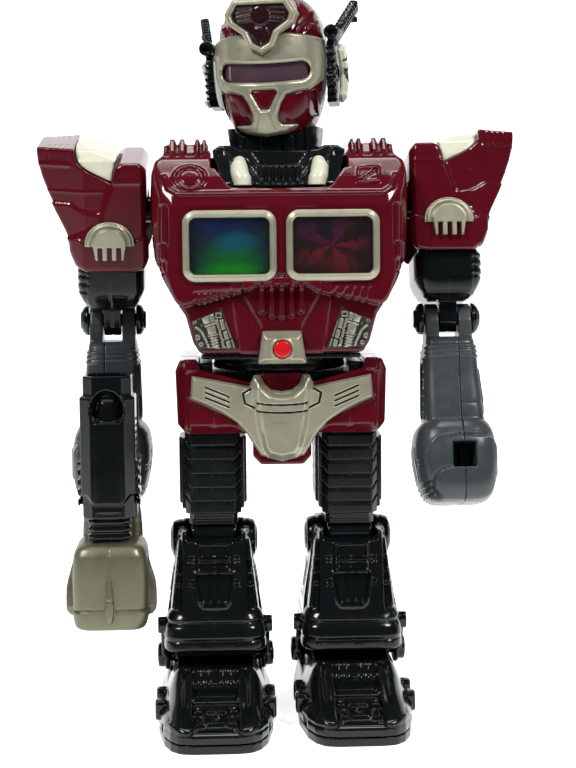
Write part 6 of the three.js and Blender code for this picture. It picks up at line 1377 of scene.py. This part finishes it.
def sweep_floor():
    """floor running up into a wall through a wide cove, as one sheet"""
    n, pts = 24, []
    back, rad, top, near, half = 3.2, 0.8, 3.4, -3.2, 3.2
    pts.append((near, 0.0)); pts.append((back - rad, 0.0))
    for i in range(1, n + 1):
        a = math.pi / 2 * i / n
        pts.append((back - rad + rad * math.sin(a), rad - rad * math.cos(a)))
    pts.append((back, top))
    V, Fc = [], []
    for y, z in pts:
        V += [(-half, y, z), (half, y, z)]
    for i in range(len(pts) - 1):
        Fc.append((2 * i, 2 * i + 1, 2 * i + 3, 2 * i + 2))
    me = bpy.data.meshes.new("backdrop"); me.from_pydata(V, [], Fc); me.update()
    me.polygons.foreach_set("use_smooth", np.full(len(me.polygons), True))
    ob = bpy.data.objects.new("backdrop", me); bpy.context.scene.collection.objects.link(ob)
    me.materials.append(FLOOR)
sweep_floor()

def area(name, loc, target, size, power, colour=(1, 1, 1), spread=180.0):
    d = bpy.data.lights.new(name, "AREA"); d.shape = "RECTANGLE"; d.size, d.size_y = size
    d.energy = power; d.color = colour; d.spread = math.radians(spread)
    ob = bpy.data.objects.new(name, d); bpy.context.scene.collection.objects.link(ob)
    ob.location = loc
    v = Vector(target) - Vector(loc)
    ob.rotation_euler = v.to_track_quat("-Z", "Y").to_euler()
    return ob
area("overhead", (0.0, 0.05, 1.35), (0, 0.03, 0.15), (0.55, 0.32), 5.4)
area("key_right", (-0.72, -0.78, 1.10), (0, 0, 0.17), (0.34, 0.34), 4.8, spread=110)
area("key_left", (0.72, -0.78, 1.10), (0, 0, 0.17), (0.34, 0.34), 4.8, spread=110)
area("rim_right", (-1.0, 0.25, 0.30), (0, 0, 0.18), (0.10, 0.9), 0.7)
area("rim_left", (1.0, 0.25, 0.30), (0, 0, 0.18), (0.10, 0.9), 0.7)

w = bpy.data.worlds.new("studio"); bpy.context.scene.world = w
w.use_nodes = True
bg = w.node_tree.nodes["Background"]; bg.inputs["Color"].default_value = (1, 1, 1, 1); bg.inputs["Strength"].default_value = 0.07
bpy.context.scene.view_settings.view_transform = "Standard"

# ------------------------------------------------------------------ camera
def camera():
    yaw, pitch, roll = math.radians(2.2917), math.radians(-5.0640), math.radians(-0.6)
    f = Vector((math.sin(yaw) * math.cos(pitch), math.cos(yaw) * math.cos(pitch), math.sin(pitch)))
    r = Vector((math.cos(yaw), -math.sin(yaw), 0)); u = r.cross(f)
    r2 = r * math.cos(roll) + u * math.sin(roll); u2 = -r * math.sin(roll) + u * math.cos(roll)
    M = Matrix((r2, u2, -f)).transposed().to_4x4()
    M.translation = Vector((-0.0279, -0.7770, 0.21995))
    cam = bpy.data.cameras.new("camera"); cam.sensor_fit = "VERTICAL"; cam.sensor_height = 36.0; cam.sensor_width = 27.0
    cam.lens = 1739.0 * 36.0 / 768.0; cam.clip_start = 0.05; cam.clip_end = 20
    ob = bpy.data.objects.new("camera", cam); bpy.context.scene.collection.objects.link(ob)
    ob.matrix_world = M
    bpy.context.scene.camera = ob
camera()
